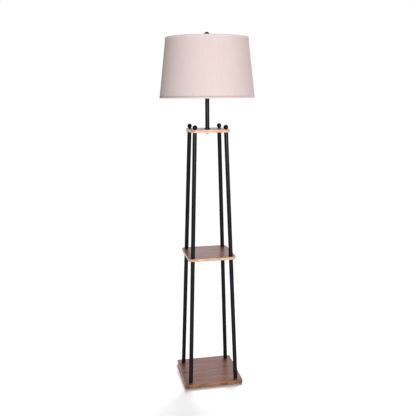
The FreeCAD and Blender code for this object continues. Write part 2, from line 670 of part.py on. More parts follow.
def is_bend(across, height):
    """A test for the straight edges across the saddle at a distance from its middle."""
    far = value(across)
    level = value(height)

    def test(edge):
        box = edge.BoundBox
        middle = box.Center
        flat = box.XLength < 0.01 and box.ZLength < 0.01
        return flat and abs(abs(middle.x) - far) < 0.01 and abs(middle.z - level) < 0.01
    return test


PIN_TOP = "(Sizes.saddle_arm + Sizes.saddle_pin)"
WIRE_START = f"({PIN_TOP} + Sizes.wire_gap)"
WIRE_TOP = "(Sizes.harp_height - Sizes.seat_thick - Sizes.seat_boss / 2)"


def make_harp():
    """One bent wire from sleeve to sleeve, over the bulb."""
    body = new_body("harp_wire", SADDLE_TOP)
    path = new_sketch(body, "harp_line", "XZ_Plane")
    foot = "Sizes.harp_foot_spread"
    wide = "Sizes.harp_spread"
    straight = f"{WIRE_START} + Sizes.harp_straight"
    right = ((foot, WIRE_START), (foot, straight), (wide, "Sizes.harp_widest"), (wide, WIRE_TOP))
    left = [(f"-{x}", z) for x, z in reversed(right)]
    bends = ("Sizes.harp_foot_bend", "Sizes.harp_side_bend", "Sizes.harp_shoulder")
    bent_line(path, (*right, *left), (*bends, *reversed(bends)))
    section = new_sketch(body, "harp_section", offset=WIRE_START)
    circle(section, "Sizes.harp_wire_dia", foot)
    wire = body.newObject("PartDesign::AdditivePipe", "harp_bending")
    wire.Profile = section
    wire.Spine = path


def make_harp_seat():
    """The turned piece on top of the harp: a flange for the shade with a stud for the finial."""
    bottom = "(Sizes.harp_height - Sizes.seat_thick - Sizes.seat_boss)"
    body = new_body("harp_seat", f"({SADDLE_TOP} + {bottom})")
    sketch = new_sketch(body, "seat_outline", "XZ_Plane")
    boss = "Sizes.seat_boss_dia / 2"
    flange = "Sizes.seat_dia / 2"
    stud = "Sizes.stud_dia / 2"
    seat = "Sizes.seat_boss + Sizes.seat_thick"
    end = f"{seat} + Sizes.stud_rise"
    corners = (("0", "0"), (boss, "0"), (boss, "Sizes.seat_boss"), (flange, "Sizes.seat_boss"),
               (flange, seat), (stud, seat), (stud, end), ("0", end))
    outline(sketch, corners)
    turned(body, "seat", sketch)
    hole = new_sketch(body, "wire_hole", "YZ_Plane")
    circle(hole, "Sizes.harp_wire_dia + 2 * Sizes.thread_gap", "0", "Sizes.seat_boss / 2")
    pocket(body, "wire_drilling", hole, "2 * Sizes.seat_boss_dia", both_ways=True)


def make_harp_sleeves():
    """The sleeves that slide up the harp's legs to let it go from the saddle."""
    for name, turn in (("harp_sleeve_right", 0), ("harp_sleeve_left", 2 * QUARTER_TURN)):
        body = new_body(name, f"({SADDLE_TOP} + Sizes.saddle_arm)", turn)
        sketch = new_sketch(body, f"{name}_outline", "XZ_Plane")
        axis = "Sizes.harp_foot_spread"
        bore = "Sizes.harp_wire_dia / 2 + Sizes.sleeve_gap"
        wall = f"{bore} + Sizes.sleeve_wall"
        lip = f"{wall} + Sizes.sleeve_lip"
        start = "Sizes.wire_gap"
        lip_top = f"{start} + 2 * Sizes.sleeve_lip"
        end = f"{start} + Sizes.sleeve_length"
        corners = ((bore, start), (lip, start), (lip, lip_top), (wall, lip_top), (wall, end), (bore, end))
        outline(sketch, [(f"{axis} + {across}", up) for across, up in corners])
        centre = sketch.addGeometry(Part.LineSegment(Vector(value(axis), 0, 0),
                                                     Vector(value(axis), 1, 0)), True)
        lock(sketch, centre, 1, axis, "0")
        lock(sketch, centre, 2, axis, "1")
        turned(body, f"{name}_tube", sketch, axis="Axis0")


# Levels inside the lamp holder, above the harp saddle.
CAP_RIM = "(Sizes.cap_hub + Sizes.cap_bowl + Sizes.cap_side)"
SHELL_START = f"({CAP_RIM} - Sizes.shell_overlap)"
SHELL_END = f"({SHELL_START} + Sizes.shell_height)"
LINER_START = f"({SHELL_START} + Sizes.shell_wall)"
LINER_END = f"({SHELL_END} + Sizes.liner_proud)"
CORE_START = f"({LINER_START} + Sizes.core_lift)"
CORE_END = f"({CORE_START} + Sizes.core_height)"
CORE_FLOOR = f"({CORE_END} - Sizes.core_recess)"
BULB_START = f"({CORE_FLOOR} + Sizes.contact_rise + Sizes.bulb_lift)"

# Radii of the lamp holder's shells, from the outside in.
CAP_INSIDE = "(Sizes.cap_dia / 2 - Sizes.cap_wall)"
SHELL_OUTSIDE = f"({CAP_INSIDE} - Sizes.shell_gap)"
SHELL_INSIDE = f"({SHELL_OUTSIDE} - Sizes.shell_wall)"
LINER_OUTSIDE = f"({SHELL_INSIDE} - Sizes.shell_gap)"
LINER_INSIDE = f"({LINER_OUTSIDE} - Sizes.liner_wall)"
CORE_OUTSIDE = f"({LINER_INSIDE} - Sizes.shell_gap)"


def make_socket_cap():
    """A bowl drawn from sheet, on a threaded hub that screws down on the pipe."""
    body = new_body("socket_cap", SADDLE_TOP)
    sketch = new_sketch(body, "cap_outline", "XZ_Plane")
    outside = "Sizes.cap_dia / 2"
    hub = "Sizes.cap_hub_dia / 2"
    bore = "Sizes.pipe_dia / 2 + Sizes.thread_gap"
    slope_end = "Sizes.cap_hub + Sizes.cap_bowl"
    inner_floor = "Sizes.cap_hub + Sizes.cap_wall"
    inner_slope_end = f"{slope_end} + Sizes.cap_wall"
    corners = ((bore, "0"), (hub, "0"), (hub, "Sizes.cap_hub"), (outside, slope_end),
               (outside, CAP_RIM), (CAP_INSIDE, CAP_RIM), (CAP_INSIDE, inner_slope_end),
               (hub, inner_floor), (bore, inner_floor))
    outline(sketch, corners)
    cap = turned(body, "cap", sketch)
    outer = edges_that(cap, is_rim("Sizes.cap_dia", slope_end))
    shoulder = dress(body, "PartDesign::Fillet", "cap_outer_shoulder", cap, outer, "Sizes.cap_shoulder")
    inner = edges_that(shoulder, is_rim(f"2 * {CAP_INSIDE}", inner_slope_end))
    dress(body, "PartDesign::Fillet", "cap_inner_shoulder", shoulder, inner,
          "Sizes.cap_shoulder - Sizes.cap_wall")
    hole = new_sketch(body, "set_screw_hole", "XZ_Plane")
    circle(hole, "Sizes.screw_dia + 2 * Sizes.thread_gap", "0", "Sizes.cap_hub / 2")
    pocket(body, "set_screw_drilling", hole, hub, towards_normal=True)


def make_cap_screw():
    """The set screw that stops the cap turning on the threaded pipe."""
    body = new_body("cap_set_screw", SADDLE_TOP)
    start = f"(Sizes.pipe_dia / 2 + Sizes.thread_gap)"
    length = f"(Sizes.cap_hub_dia / 2 + Sizes.screw_dia / 4 - {start})"
    sketch = new_sketch(body, "set_screw_section", "XZ_Plane", start)
    circle(sketch, "Sizes.screw_dia", "0", "Sizes.cap_hub / 2")
    screw = pad(body, "set_screw", sketch, length)
    slot = new_sketch(body, "set_screw_slot", "XZ_Plane", f"{start} + {length}")
    half = "Sizes.screw_dia / 2"
    narrow = "Sizes.screw_dia / 10"
    middle = "Sizes.cap_hub / 2"
    rectangle(slot, f"-{half}", f"{middle} - {narrow}", half, f"{middle} + {narrow}")
    pocket(body, "set_screw_slotting", slot, "Sizes.screw_dia / 4")
    return screw


def switch_hole(body, name):
    """The hole for the switch shaft in the front of a shell."""
    sketch = new_sketch(body, f"{name}_switch_hole", "XZ_Plane")
    circle(sketch, "Sizes.switch_shaft_dia + 2 * Sizes.switch_hole_gap", "0", "Sizes.switch_rise")
    pocket(body, f"{name}_switch_drilling", sketch, "Sizes.cap_dia / 2", towards_normal=True)


def make_socket_shell():
    """A sheet shell that snaps into the cap, kept round by two beads rolled into it."""
    body = new_body("socket_shell", SADDLE_TOP)
    sketch = new_sketch(body, "shell_outline", "XZ_Plane")
    floor = f"{SHELL_START} + Sizes.shell_wall"
    beads = [f"({SHELL_END} - {number} * Sizes.bead_spacing)" for number in (2, 1)]
    outer = "((Sizes.bead_width ^ 2 / 4 + Sizes.bead_height ^ 2) / (2 * Sizes.bead_height))"
    inner = f"({outer} - Sizes.shell_wall)"
    middle = f"({SHELL_OUTSIDE} + Sizes.bead_height - {outer})"
    outer_half = "Sizes.bead_width / 2"
    inner_half = f"sqrt({inner} ^ 2 - ({SHELL_INSIDE} - {middle}) ^ 2)"
    corners = [(LINER_INSIDE, SHELL_START), (SHELL_OUTSIDE, SHELL_START)]
    arcs = {}
    for bead in beads:
        arcs[len(corners)] = (middle, bead, outer)
        corners += [(SHELL_OUTSIDE, f"{bead} - {outer_half}", "x"),
                    (SHELL_OUTSIDE, f"{bead} + {outer_half}", "x")]
    corners += [(SHELL_OUTSIDE, SHELL_END), (SHELL_INSIDE, SHELL_END)]
    for bead in reversed(beads):
        arcs[len(corners)] = (middle, bead, inner)
        corners += [(SHELL_INSIDE, f"{bead} + {inner_half}", "x"),
                    (SHELL_INSIDE, f"{bead} - {inner_half}", "x")]
    corners += [(SHELL_INSIDE, floor), (LINER_INSIDE, floor)]
    outline(sketch, corners, arcs)
    turned(body, "shell", sketch)
    switch_hole(body, "shell")


def make_socket_liner():
    body = new_body("socket_liner", SADDLE_TOP)
    sketch = new_sketch(body, "liner_outline", "XZ_Plane")
    rectangle(sketch, LINER_INSIDE, LINER_START, LINER_OUTSIDE, LINER_END)
    turned(body, "liner", sketch)
    switch_hole(body, "liner")


def make_socket_core():
    """The moulded body that carries the screw shell, the contacts and the switch."""
    body = new_body("socket_core", SADDLE_TOP)
    sketch = new_sketch(body, "core_outline", "XZ_Plane")
    recess = "Sizes.core_recess_dia / 2"
    corners = (("0", CORE_START), (CORE_OUTSIDE, CORE_START), (CORE_OUTSIDE, CORE_END),
               (recess, CORE_END), (recess, CORE_FLOOR), ("0", CORE_FLOOR))
    outline(sketch, corners)
    turned(body, "core", sketch)
    hole = new_sketch(body, "core_switch_hole", "XZ_Plane", f"{CORE_OUTSIDE} - Sizes.switch_depth")
    circle(hole, "Sizes.switch_shaft_dia + 2 * Sizes.thread_gap", "0", "Sizes.switch_rise")
    pocket(body, "core_switch_drilling", hole, "Sizes.cap_dia / 2", towards_normal=True)


def make_terminal_screws():
    """Two pan head screws under the moulded body, where the wires are held."""
    body = new_body("terminal_screws", f"({SADDLE_TOP} + {CORE_START} - Sizes.terminal_height)")
    heads = new_sketch(body, "terminal_heads")
    slots = new_sketch(body, "terminal_slots")
    for sign in ("", "-"):
        middle = f"{sign}Sizes.terminal_spread"
        circle(heads, "Sizes.terminal_dia", middle)
        half = "Sizes.terminal_dia / 2"
        narrow = "Sizes.terminal_dia / 12"
        rectangle(slots, f"{middle} - {half}", f"-{narrow}", f"{middle} + {half}", narrow)
    pad(body, "terminal_screw", heads, "Sizes.terminal_height")
    pocket(body, "terminal_slotting", slots, "Sizes.terminal_height / 3", towards_normal=True)


def make_screw_shell():
    body = new_body("screw_shell", SADDLE_TOP)
    sketch = new_sketch(body, "screw_shell_outline", "XZ_Plane")
    outside = "Sizes.thread_shell_dia / 2"
    inside = f"{outside} - Sizes.thread_shell_wall"
    edge = "Sizes.core_recess_dia / 2"
    floor = f"{CORE_END} + Sizes.thread_shell_wall"
    top = f"{CORE_END} + Sizes.thread_shell_height"
    corners = ((edge, CORE_END), (outside, CORE_END), (outside, top), (inside, top), (inside, floor),
               (edge, floor))
    outline(sketch, corners)
    turned(body, "screw_shell_wall", sketch)


def make_centre_contact():
    """A brass strip in the core's recess, with one end sprung up to meet the bulb."""
    body = new_body("centre_contact", f"({SADDLE_TOP} + {CORE_FLOOR})")
    sketch = new_sketch(body, "contact_side_view", "XZ_Plane")
    back = "-Sizes.contact_length / 2"
    bend = "Sizes.contact_length / 3"
    thick = "Sizes.contact_thick"
    rise = "Sizes.contact_rise"
    tip = "Sizes.contact_length / 4"
    corners = ((back, "0"), (bend, "0"), (tip, rise), (f"-{tip}", rise), (f"-{tip}", f"{rise} - {thick}"),
               (f"{tip} - {thick}", f"{rise} - {thick}"), (f"{bend} - 2 * {thick}", thick), (back, thick))
    outline(sketch, corners)
    pad(body, "contact_strip", sketch, "Sizes.contact_width", both_ways=True)


def make_switch():
    """The turning shaft of the switch and the fluted key on its end, on a line to the front."""
    shaft = new_body("switch_shaft", SADDLE_TOP)
    start = f"({CORE_OUTSIDE} - Sizes.switch_depth)"
    key_start = f"({SHELL_OUTSIDE} + Sizes.switch_key_gap)"
    hollow = "(Sizes.switch_key_length / 2)"
    section = new_sketch(shaft, "switch_shaft_section", "XZ_Plane", f"{start} + Sizes.wire_gap")
    circle(section, "Sizes.switch_shaft_dia", "0", "Sizes.switch_rise")
    pad(shaft, "switch_rod", section, f"{key_start} + {hollow} - {start} - Sizes.wire_gap")

    key = new_body("switch_key", f"({SADDLE_TOP} + Sizes.switch_rise)")
    sketch = new_sketch(key, "switch_key_outline")
    bore = "Sizes.switch_shaft_dia / 2 + Sizes.thread_gap"
    neck = "Sizes.switch_key_neck / 2"
    outer = "Sizes.switch_key_dia / 2"
    end = f"{key_start} + Sizes.switch_key_length"
    depth = f"{key_start} + {hollow}"
    corners = ((bore, f"-{key_start}"), (bore, f"-({depth})"), ("0", f"-({depth})"), ("0", f"-({end})"),
               (outer, f"-({end})"), (outer, f"-({depth})"), (neck, f"-{key_start}"))
    outline(sketch, corners)
    blank = turned(key, "switch_key_blank", sketch)
    flute = new_sketch(key, "switch_flute_section", "XZ_Plane", depth)
    circle(flute, "Sizes.switch_flute", "Sizes.switch_key_dia / 2")
    cut = pocket(key, "switch_flute_cut", flute, hollow, towards_normal=True)
    round_pattern(key, "switch_flutes", [cut], "Sizes.switch_flute_count", "Y_Axis")
    return blank


# The bulb: a cap with its contact, a housing and a frosted globe.

BULB_CAP_START = "(Sizes.bulb_contact_height + Sizes.bulb_cap_taper)"
BULB_HOUSING_START = f"({BULB_CAP_START} + Sizes.bulb_cap_height)"
BULB_MIDDLE = "(Sizes.bulb_length - Sizes.bulb_dia / 2)"
BULB_HOUSING_END = f"({BULB_MIDDLE} - Sizes.bulb_globe_rise)"


def make_bulb():
    level = f"({SADDLE_TOP} + {BULB_START})"
    contact = "Sizes.bulb_contact_dia / 2"
    cap = "Sizes.bulb_cap_dia / 2"
    housing = "Sizes.bulb_housing_dia / 2"

    tip = new_body("bulb_contact", level)
    sketch = new_sketch(tip, "bulb_contact_outline", "XZ_Plane")
    outline(sketch, (("0", "0"), (f"{contact} / 2", "0"), (contact, "Sizes.bulb_contact_height"),
                     ("0", "Sizes.bulb_contact_height")))
    turned(tip, "bulb_contact_button", sketch)

    insulator = new_body("bulb_insulator", level)
    sketch = new_sketch(insulator, "bulb_insulator_outline", "XZ_Plane")
    outline(sketch, (("0", "Sizes.bulb_contact_height"), (contact, "Sizes.bulb_contact_height"),
                     (f"{cap} - Sizes.cap_wall", BULB_CAP_START), ("0", BULB_CAP_START)))
    turned(insulator, "bulb_insulator_cone", sketch)

    screw = new_body("bulb_cap", level)
    sketch = new_sketch(screw, "bulb_cap_outline", "XZ_Plane")
    rectangle(sketch, "0", BULB_CAP_START, cap, BULB_HOUSING_START)
    turned(screw, "bulb_screw", sketch)

    base = new_body("bulb_housing", level)
    sketch = new_sketch(base, "bulb_housing_outline", "XZ_Plane")
    collar_end = f"({BULB_HOUSING_START} + Sizes.bulb_collar)"
    widening = f"({housing} - {cap})"
    flare = f"(({widening} ^ 2 + ({BULB_HOUSING_END} - {collar_end}) ^ 2) / (2 * {widening}))"
    outline(sketch, (("0", BULB_HOUSING_START), (cap, BULB_HOUSING_START), (cap, collar_end, "y"),
                     (housing, BULB_HOUSING_END, "y"), ("0", BULB_HOUSING_END)),
            {2: (f"{cap} + {flare}", collar_end, flare)})
    turned(base, "bulb_housing_flare", sketch)

    globe = new_body("bulb_globe", level)
    sketch = new_sketch(globe, "bulb_globe_outline", "XZ_Plane")
    outside = "(Sizes.bulb_dia / 2)"
    inside = f"({outside} - Sizes.bulb_globe_wall)"
    rise = "Sizes.bulb_globe_rise"
    corners = ((f"sqrt({inside} ^ 2 - {rise} ^ 2)", BULB_HOUSING_END, "y"),
               (f"sqrt({outside} ^ 2 - {rise} ^ 2)", BULB_HOUSING_END, "y"),
               ("0", "Sizes.bulb_length", "x"),
               ("0", "Sizes.bulb_length - Sizes.bulb_globe_wall", "x"))
    outline(sketch, corners, {1: ("0", BULB_MIDDLE, outside), 3: ("0", BULB_MIDDLE, inside)})
    turned(globe, "bulb_globe_shell", sketch)


# The shade: layers of a cone, hems over its rims, two wire rings and a spider with its hub.

SHADE_SLOPE = "((Sizes.shade_bottom_dia - Sizes.shade_top_dia) / 2 / Sizes.shade_height)"


def shade_wall(name, inset, wall, start, end):
    """A layer of the shade's cone, inset from its outside, between two heights above its rim."""
    body = new_body(name, SHADE_BOTTOM)
    sketch = new_sketch(body, f"{name}_outline", "XZ_Plane")
    low = f"(Sizes.shade_bottom_dia / 2 - {inset} - ({start}) * {SHADE_SLOPE})"
    high = f"(Sizes.shade_bottom_dia / 2 - {inset} - ({end}) * {SHADE_SLOPE})"
    corners = ((f"{low} - {wall}", start), (low, start), (high, end), (f"{high} - {wall}", end))
    outline(sketch, corners)
    turned(body, f"{name}_wall", sketch)
    return body


COVER_INSET = "(Sizes.hem_wall + Sizes.cloth_gap)"
LINING_INSET = f"({COVER_INSET} + Sizes.cover_wall + Sizes.cloth_gap)"
RING_INSET = f"({LINING_INSET} + Sizes.lining_wall + Sizes.cloth_gap + Sizes.ring_wire_dia / 2)"


def make_shade_layers():
    edge = "(Sizes.hem_wall + Sizes.cloth_gap)"
    upper = f"Sizes.shade_height - {edge}"
    shade_wall("shade_cover", COVER_INSET, "Sizes.cover_wall", edge, upper)
    shade_wall("shade_lining", LINING_INSET, "Sizes.lining_wall", edge, upper)


HEM_INNER_FACE = f"({RING_INSET} + Sizes.ring_wire_dia / 2 + Sizes.cloth_gap)"
RING_EDGE = "(Sizes.hem_wall + Sizes.cloth_gap + Sizes.ring_wire_dia / 2)"


def make_hem(name, rim, turn_in):
    """A folded strip over one rim of the shade, round the cover, the lining and the ring."""
    body = new_body(name, SHADE_BOTTOM)
    sketch = new_sketch(body, f"{name}_outline", "XZ_Plane")

    def at(inset, distance):
        height = rim if distance == "0" else f"({rim} {turn_in} {distance})"
        return f"Sizes.shade_bottom_dia / 2 - {inset} - {height} * {SHADE_SLOPE}", height

    depth = "Sizes.hem_height"
    wall = "Sizes.hem_wall"
    corners = (at("0", "0"), at("0", depth), at(wall, depth), at(wall, wall), at(HEM_INNER_FACE, wall),
               at(HEM_INNER_FACE, depth), at(f"({HEM_INNER_FACE} + {wall})", depth),
               at(f"({HEM_INNER_FACE} + {wall})", "0"))
    outline(sketch, corners)
    turned(body, f"{name}_fold", sketch)
    return body


def notch_top_hem(body):
    """A notch for each spoke, up through the inside of the fold as far as the ring's seat."""
    start = f"({ring_radius('Sizes.shade_height')} - 2 * Sizes.ring_wire_dia)"
    sketch = new_sketch(body, "hem_notch", "YZ_Plane", start)
    half = "(Sizes.spoke_dia / 2 + Sizes.hem_notch_gap)"
    rectangle(sketch, f"-{half}", "Sizes.shade_height - 2 * Sizes.hem_height", half,
              "Sizes.shade_height - Sizes.hem_wall")
    cut = pocket(body, "hem_notch_cut", sketch, "2 * Sizes.ring_wire_dia", towards_normal=True)
    round_pattern(body, "hem_notches", [cut], "Sizes.spoke_count")


def ring_radius(height):
    return f"(Sizes.shade_bottom_dia / 2 - {RING_INSET} - ({height}) * {SHADE_SLOPE})"


def make_bottom_ring():
    body = new_body("shade_bottom_ring", SHADE_BOTTOM)
    sketch = new_sketch(body, "bottom_ring_section", "XZ_Plane")
    circle(sketch, "Sizes.ring_wire_dia", ring_radius(RING_EDGE), RING_EDGE)
    turned(body, "bottom_ring", sketch)


def make_spider():
    """The shade's fitter: a hub on three spokes that bend up to the wire ring of the top rim."""
    body = new_body("shade_spider", SPOKE_LEVEL)
    radius = ring_radius(f"(Sizes.shade_height - {RING_EDGE})")
    ring = new_sketch(body, "top_ring_section", "XZ_Plane")
    circle(ring, "Sizes.ring_wire_dia", radius, "Sizes.spider_recess")
    turned(body, "top_ring", ring)
    hub = new_sketch(body, "hub_outline", offset="-Sizes.hub_thick / 2")
    circle(hub, "Sizes.hub_dia")
    pad(body, "hub", hub, "Sizes.hub_thick")
    path = new_sketch(body, "spoke_line", "XZ_Plane")
    start = "(Sizes.hub_dia / 2 - Sizes.hub_thick / 2)"
    bent_line(path, ((start, "0"), ("Sizes.spoke_flat", "0"), (radius, "Sizes.spider_recess")),
              ("Sizes.spoke_bend",))
    section = new_sketch(body, "spoke_section", "YZ_Plane", start)
    circle(section, "Sizes.spoke_dia")
    spoke = body.newObject("PartDesign::AdditivePipe", "spoke")
    spoke.Profile = section
    spoke.Spine = path
    round_pattern(body, "spokes", [spoke], "Sizes.spoke_count")
    hole = new_sketch(body, "hub_hole", offset="-Sizes.hub_thick")
    circle(hole, "Sizes.stud_dia + 2 * Sizes.hub_hole_gap")
    pocket(body, "hub_drilling", hole, "2 * Sizes.hub_thick", towards_normal=True)


def make_finial():
    """The ball that screws on the harp's stud and holds the shade down."""
    body = new_body("finial", HUB_TOP)
    sketch = new_sketch(body, "finial_outline", "XZ_Plane")
    bore = "Sizes.stud_dia / 2 + Sizes.thread_gap"
    foot = "Sizes.finial_base_dia / 2"
    neck = "Sizes.finial_neck_dia / 2"
    radius = "Sizes.finial_dia / 2"
    bore_top = "Sizes.stud_rise - Sizes.hub_thick + Sizes.finial_bore_gap"
    cone = f"Sizes.finial_base + ({foot} - ({neck}))"
    neck_top = f"Sizes.finial_rise - sqrt(({radius}) ^ 2 - ({neck}) ^ 2)"
    corners = ((bore, "0"), (foot, "0"), (foot, "Sizes.finial_base"), (neck, cone), (neck, neck_top, "x"),
               ("0", f"Sizes.finial_rise + {radius}", "x"), ("0", bore_top), (bore, bore_top))
    outline(sketch, corners, {4: ("0", "Sizes.finial_rise", radius)})
    turned(body, "finial_ball", sketch)


def build():
    make_foot_pads()
    make_base_board()
    make_middle_shelf()
    make_top_shelf()
    make_base_fasteners()
    for storey, level, rise in (("lower", BASE_TOP, "Sizes.lower_rise"),
                                ("upper", MIDDLE_TOP, "Sizes.upper_rise")):
        make_leg_tubes(storey, level, rise)
        make_leg_plugs(storey, level, rise)
    make_shelf_studs()
    make_ball_knobs()
    make_stem()
    make_harp_saddle()
    make_harp()
    make_harp_seat()
    make_harp_sleeves()
    make_socket_cap()
    make_cap_screw()
    make_socket_shell()
    make_socket_liner()
    make_socket_core()
    make_terminal_screws()
    make_screw_shell()
    make_centre_contact()
    make_switch()
    make_bulb()
    make_shade_layers()
    make_hem("shade_bottom_hem", "0", "+")
    notch_top_hem(make_hem("shade_top_hem", "Sizes.shade_height", "-"))
    make_bottom_ring()
    make_spider()
    make_finial()


def check():
    """Stop if any object failed, or a body has no sound shape."""
    for item in document.Objects:
        if {"Invalid", "Error"} & set(item.State):
            raise RuntimeError(f"{item.Label} could not be built: {item.State}")
    for body in bodies():
        if body.Shape.isNull() or not body.Shape.isValid() or not body.Shape.Solids:
            raise RuntimeError(f"{body.Label} has no sound solid")


def bodies():
    return [item for item in document.Objects if item.TypeId == "PartDesign::Body"]


build()
document.recompute()
check()
os.makedirs("parts", exist_ok=True)
for body in bodies():
    body.Shape.exportStep(f"parts/{body.Label}.step")
    print(f"{body.Label}: {len(body.Shape.Solids)} solids, {body.Shape.Volume:.0f} mm3")
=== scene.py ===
import math

import bmesh
import bpy
from mathutils import Matrix, Vector


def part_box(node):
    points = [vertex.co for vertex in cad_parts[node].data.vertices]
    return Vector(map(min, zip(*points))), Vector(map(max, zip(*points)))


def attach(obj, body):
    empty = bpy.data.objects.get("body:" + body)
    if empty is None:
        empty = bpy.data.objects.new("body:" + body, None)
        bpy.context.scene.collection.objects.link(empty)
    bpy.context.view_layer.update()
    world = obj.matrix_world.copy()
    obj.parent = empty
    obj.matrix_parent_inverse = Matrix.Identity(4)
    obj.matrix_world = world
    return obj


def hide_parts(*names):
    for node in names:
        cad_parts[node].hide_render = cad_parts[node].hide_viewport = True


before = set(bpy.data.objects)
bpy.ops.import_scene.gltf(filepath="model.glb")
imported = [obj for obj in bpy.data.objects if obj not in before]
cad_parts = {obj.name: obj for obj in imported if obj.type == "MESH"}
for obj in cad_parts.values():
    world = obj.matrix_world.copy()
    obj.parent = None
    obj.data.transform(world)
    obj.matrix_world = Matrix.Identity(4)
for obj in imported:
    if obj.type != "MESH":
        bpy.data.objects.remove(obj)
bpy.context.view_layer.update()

bl_info = {
    "name": "Shelf floor lamp",
    "version": (1, 0, 0),
    "blender": (4, 5, 0),
    "location": "View3D > Sidebar > Lamp",
    "description": "Gives a packed shelf floor lamp its wood, lacquer, metal and woven drum shade",
    "category": "Object",
}

MM = 0.001
FULL_TURN = 2 * math.pi

# The back of the lamp, as a turn from the x axis.
BACK = math.pi / 2

# Points closer together than MERGE become one. Points this near to a cutting plane lie on it.
MERGE = 0.001 * MM
ON_PLANE = 0.0001 * MM

# Into how many faces a piece is divided: round the lamp, up the shade, over a rounding, or in one
# turn of the thread.
COVER_STEPS = 288
COVER_LEVELS = 24
SEAM_STEPS = 2
SEAM_LEVELS = 12
HEM_STEPS = 240
HEM_ROUND_STEPS = 4
THREAD_STEPS = 36

# The spider's spokes, evenly round the lamp from the x axis.
SPOKES = 3


def from_hex(code):
    """The linear red, green and blue of an sRGB hex colour, by the curve of that standard."""
    shares = [int(code[start:start + 2], 16) / 255 for start in (0, 2, 4)]
    return tuple(s / 12.92 if s <= 0.04045 else ((s + 0.055) / 1.055) ** 2.4 for s in shares)


def top_of(node):
    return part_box(node)[1].z


def bottom_of(node):
    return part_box(node)[0].z


def radius_of(node):
    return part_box(node)[1].x


# The cone of the shade's outside, and the share of a full turn that it fills when laid out flat.
SHADE_LOW = bottom_of("shade_bottom_hem")
SHADE_WIDE = radius_of("shade_bottom_hem")
SHADE_SLOPE = (SHADE_WIDE - radius_of("shade_top_hem")) / (bottom_of("shade_top_hem") - SHADE_LOW)
SHADE_OPENING = SHADE_SLOPE / math.hypot(SHADE_SLOPE, 1)


def shade_radius(height, inset):
    """The radius of the shade's outside at a height, less an inset."""
    return SHADE_WIDE - (height - SHADE_LOW) * SHADE_SLOPE - inset


# The sizes and colours that a user would change.

def colour(name, description, code):
    return bpy.props.FloatVectorProperty(name=name, description=description, default=from_hex(code),
                                         subtype="COLOR", size=3, min=0, max=1)


def length(name, description, default):
    return bpy.props.FloatProperty(name=name, description=description, default=default, min=0,
                                   unit="LENGTH", precision=5)


def turning(name, description, default):
    return bpy.props.FloatProperty(name=name, description=description, default=default,
                                   subtype="ANGLE")


def position(name, description, default):
    return bpy.props.FloatVectorProperty(name=name, description=description, default=default,
                                         subtype="TRANSLATION", unit="LENGTH")


class BoardSettings(bpy.types.PropertyGroup):
    veneer: colour("Veneer", "Walnut veneer between its darker lines", "835a50")
    veneer_dark: colour("Veneer lines", "Darker lines of the walnut veneer", "583831")
    shelf_edge: colour("Shelf edge", "Lacquered edge of the two shelves", "f4cbb0")
    # The darker grain colours also give the painted shade where the band bends round a corner.
    shelf_edge_grain_and_bend_shade: colour("Shelf edge grain", "Grain in the edge of the shelves", "d8a07a")
    # Darker than the shelves' edges: partly the base edge's own tone, partly painted shade near the
    # floor.
    base_edge_with_painted_shade: colour("Base edge", "Lacquered edge of the base board", "b57a55")
    base_edge_grain_and_painted_shade: colour("Base edge grain", "Grain in the edge of the base board", "7b4628")
    veneer_thick: length("Veneer thickness", "Veneer on both faces of a board", 0.6 * MM)
    line_width: length("Line width", "Width of the darker lines across the grain", 1.8 * MM)
    line_wander: length("Line wander", "Span within which the lines drift sideways", 30 * MM)
    wander_length: length("Wander length", "Distance over which the lines drift", 200 * MM)
    pore_width: length("Pore width", "Width of an open pore of the wood", 0.5 * MM)
    edge_layer: length("Edge layer", "Height of a layer in the grain of the edges", 4 * MM)
    edge_streak: length("Edge streak", "Length of a streak along the edges", 62.5 * MM)
    edge_cloud: length("Edge cloud", "Width of the slow drift in the edges' colour", 35.7 * MM)


class MetalSettings(bpy.types.PropertyGroup):
    powder_black: colour("Powder coat", "Black powder coat of the tubes", "0b0b12")
    lacquer_black: colour("Lacquer", "Gloss black lacquer of the balls and the finial", "060607")
    nickel: colour("Nickel", "Nickel plating of the harp and the lamp holder", "c9c3b8")
    zinc: colour("Zinc", "Zinc plating of the fasteners", "b4b6b8")
    brass: colour("Brass", "Contacts and terminal screws", "d2ab62")
    aluminium: colour("Aluminium", "Screw shell and bulb cap", "d3d3d1")
    powder_grain: length("Powder grain", "Width of the orange peel in the powder coat", 0.5 * MM)
    lacquer_wave: length("Lacquer wave", "Width of the waves in the lacquer", 3.85 * MM)


class ShadeSettings(bpy.types.PropertyGroup):
    cloth: colour("Cloth", "Threads of the shade's cloth", "ecdad7")
    cloth_dark: colour("Cloth shadow", "Gaps and darker slubs of the cloth", "e2cecb")
    lining: colour("Lining", "Inside of the shade", "efe9df")
    wire: colour("Wire", "Enamel of the shade's rings and spokes", "e6e2d8")
    thread_spacing: length("Thread spacing", "Distance between neighbouring threads", 0.7 * MM)
    slub_spacing: length("Slub spacing", "Distance between thicker threads", 3.4 * MM)
    seam_width: length("Seam width", "Overlap of the cloth at the back", 8 * MM)
    cover_cloth: length("Cover thickness", "Thickness of the woven cover", 0.8 * MM)
    hem_cloth: length("Hem thickness", "Thickness of the folded strip at each rim", 0.6 * MM)
    hem_width: length("Hem width", "Width of the fold over the layers and the ring", 7.9 * MM)
    hem_round: length("Hem rounding", "Rounding of the fold", 1.6 * MM)


class HolderSettings(bpy.types.PropertyGroup):
    black_plastic: colour("Black plastic", "Switch key, cord bush and moulded holder", "151414")
    card: colour("Card", "Liner of the lamp holder", "a48f6f")
    bulb_plastic: colour("Bulb housing", "Moulded housing of the bulb", "e8e8e4")
    bulb_frost: colour("Bulb globe", "Frosted globe of the bulb", "f1f0ea")
    rubber: colour("Rubber", "Pads under the base", "1b1a1a")
    pipe_thread: length("Pipe thread", "Rise of the pipe's thread in one turn", 1.0 * MM)
    pipe_thread_depth: length("Thread depth", "Height of the pipe's thread", 0.35 * MM)
    pipe_thread_gap: length("Thread gap", "Bare pipe at each end of the thread", 0.05 * MM)


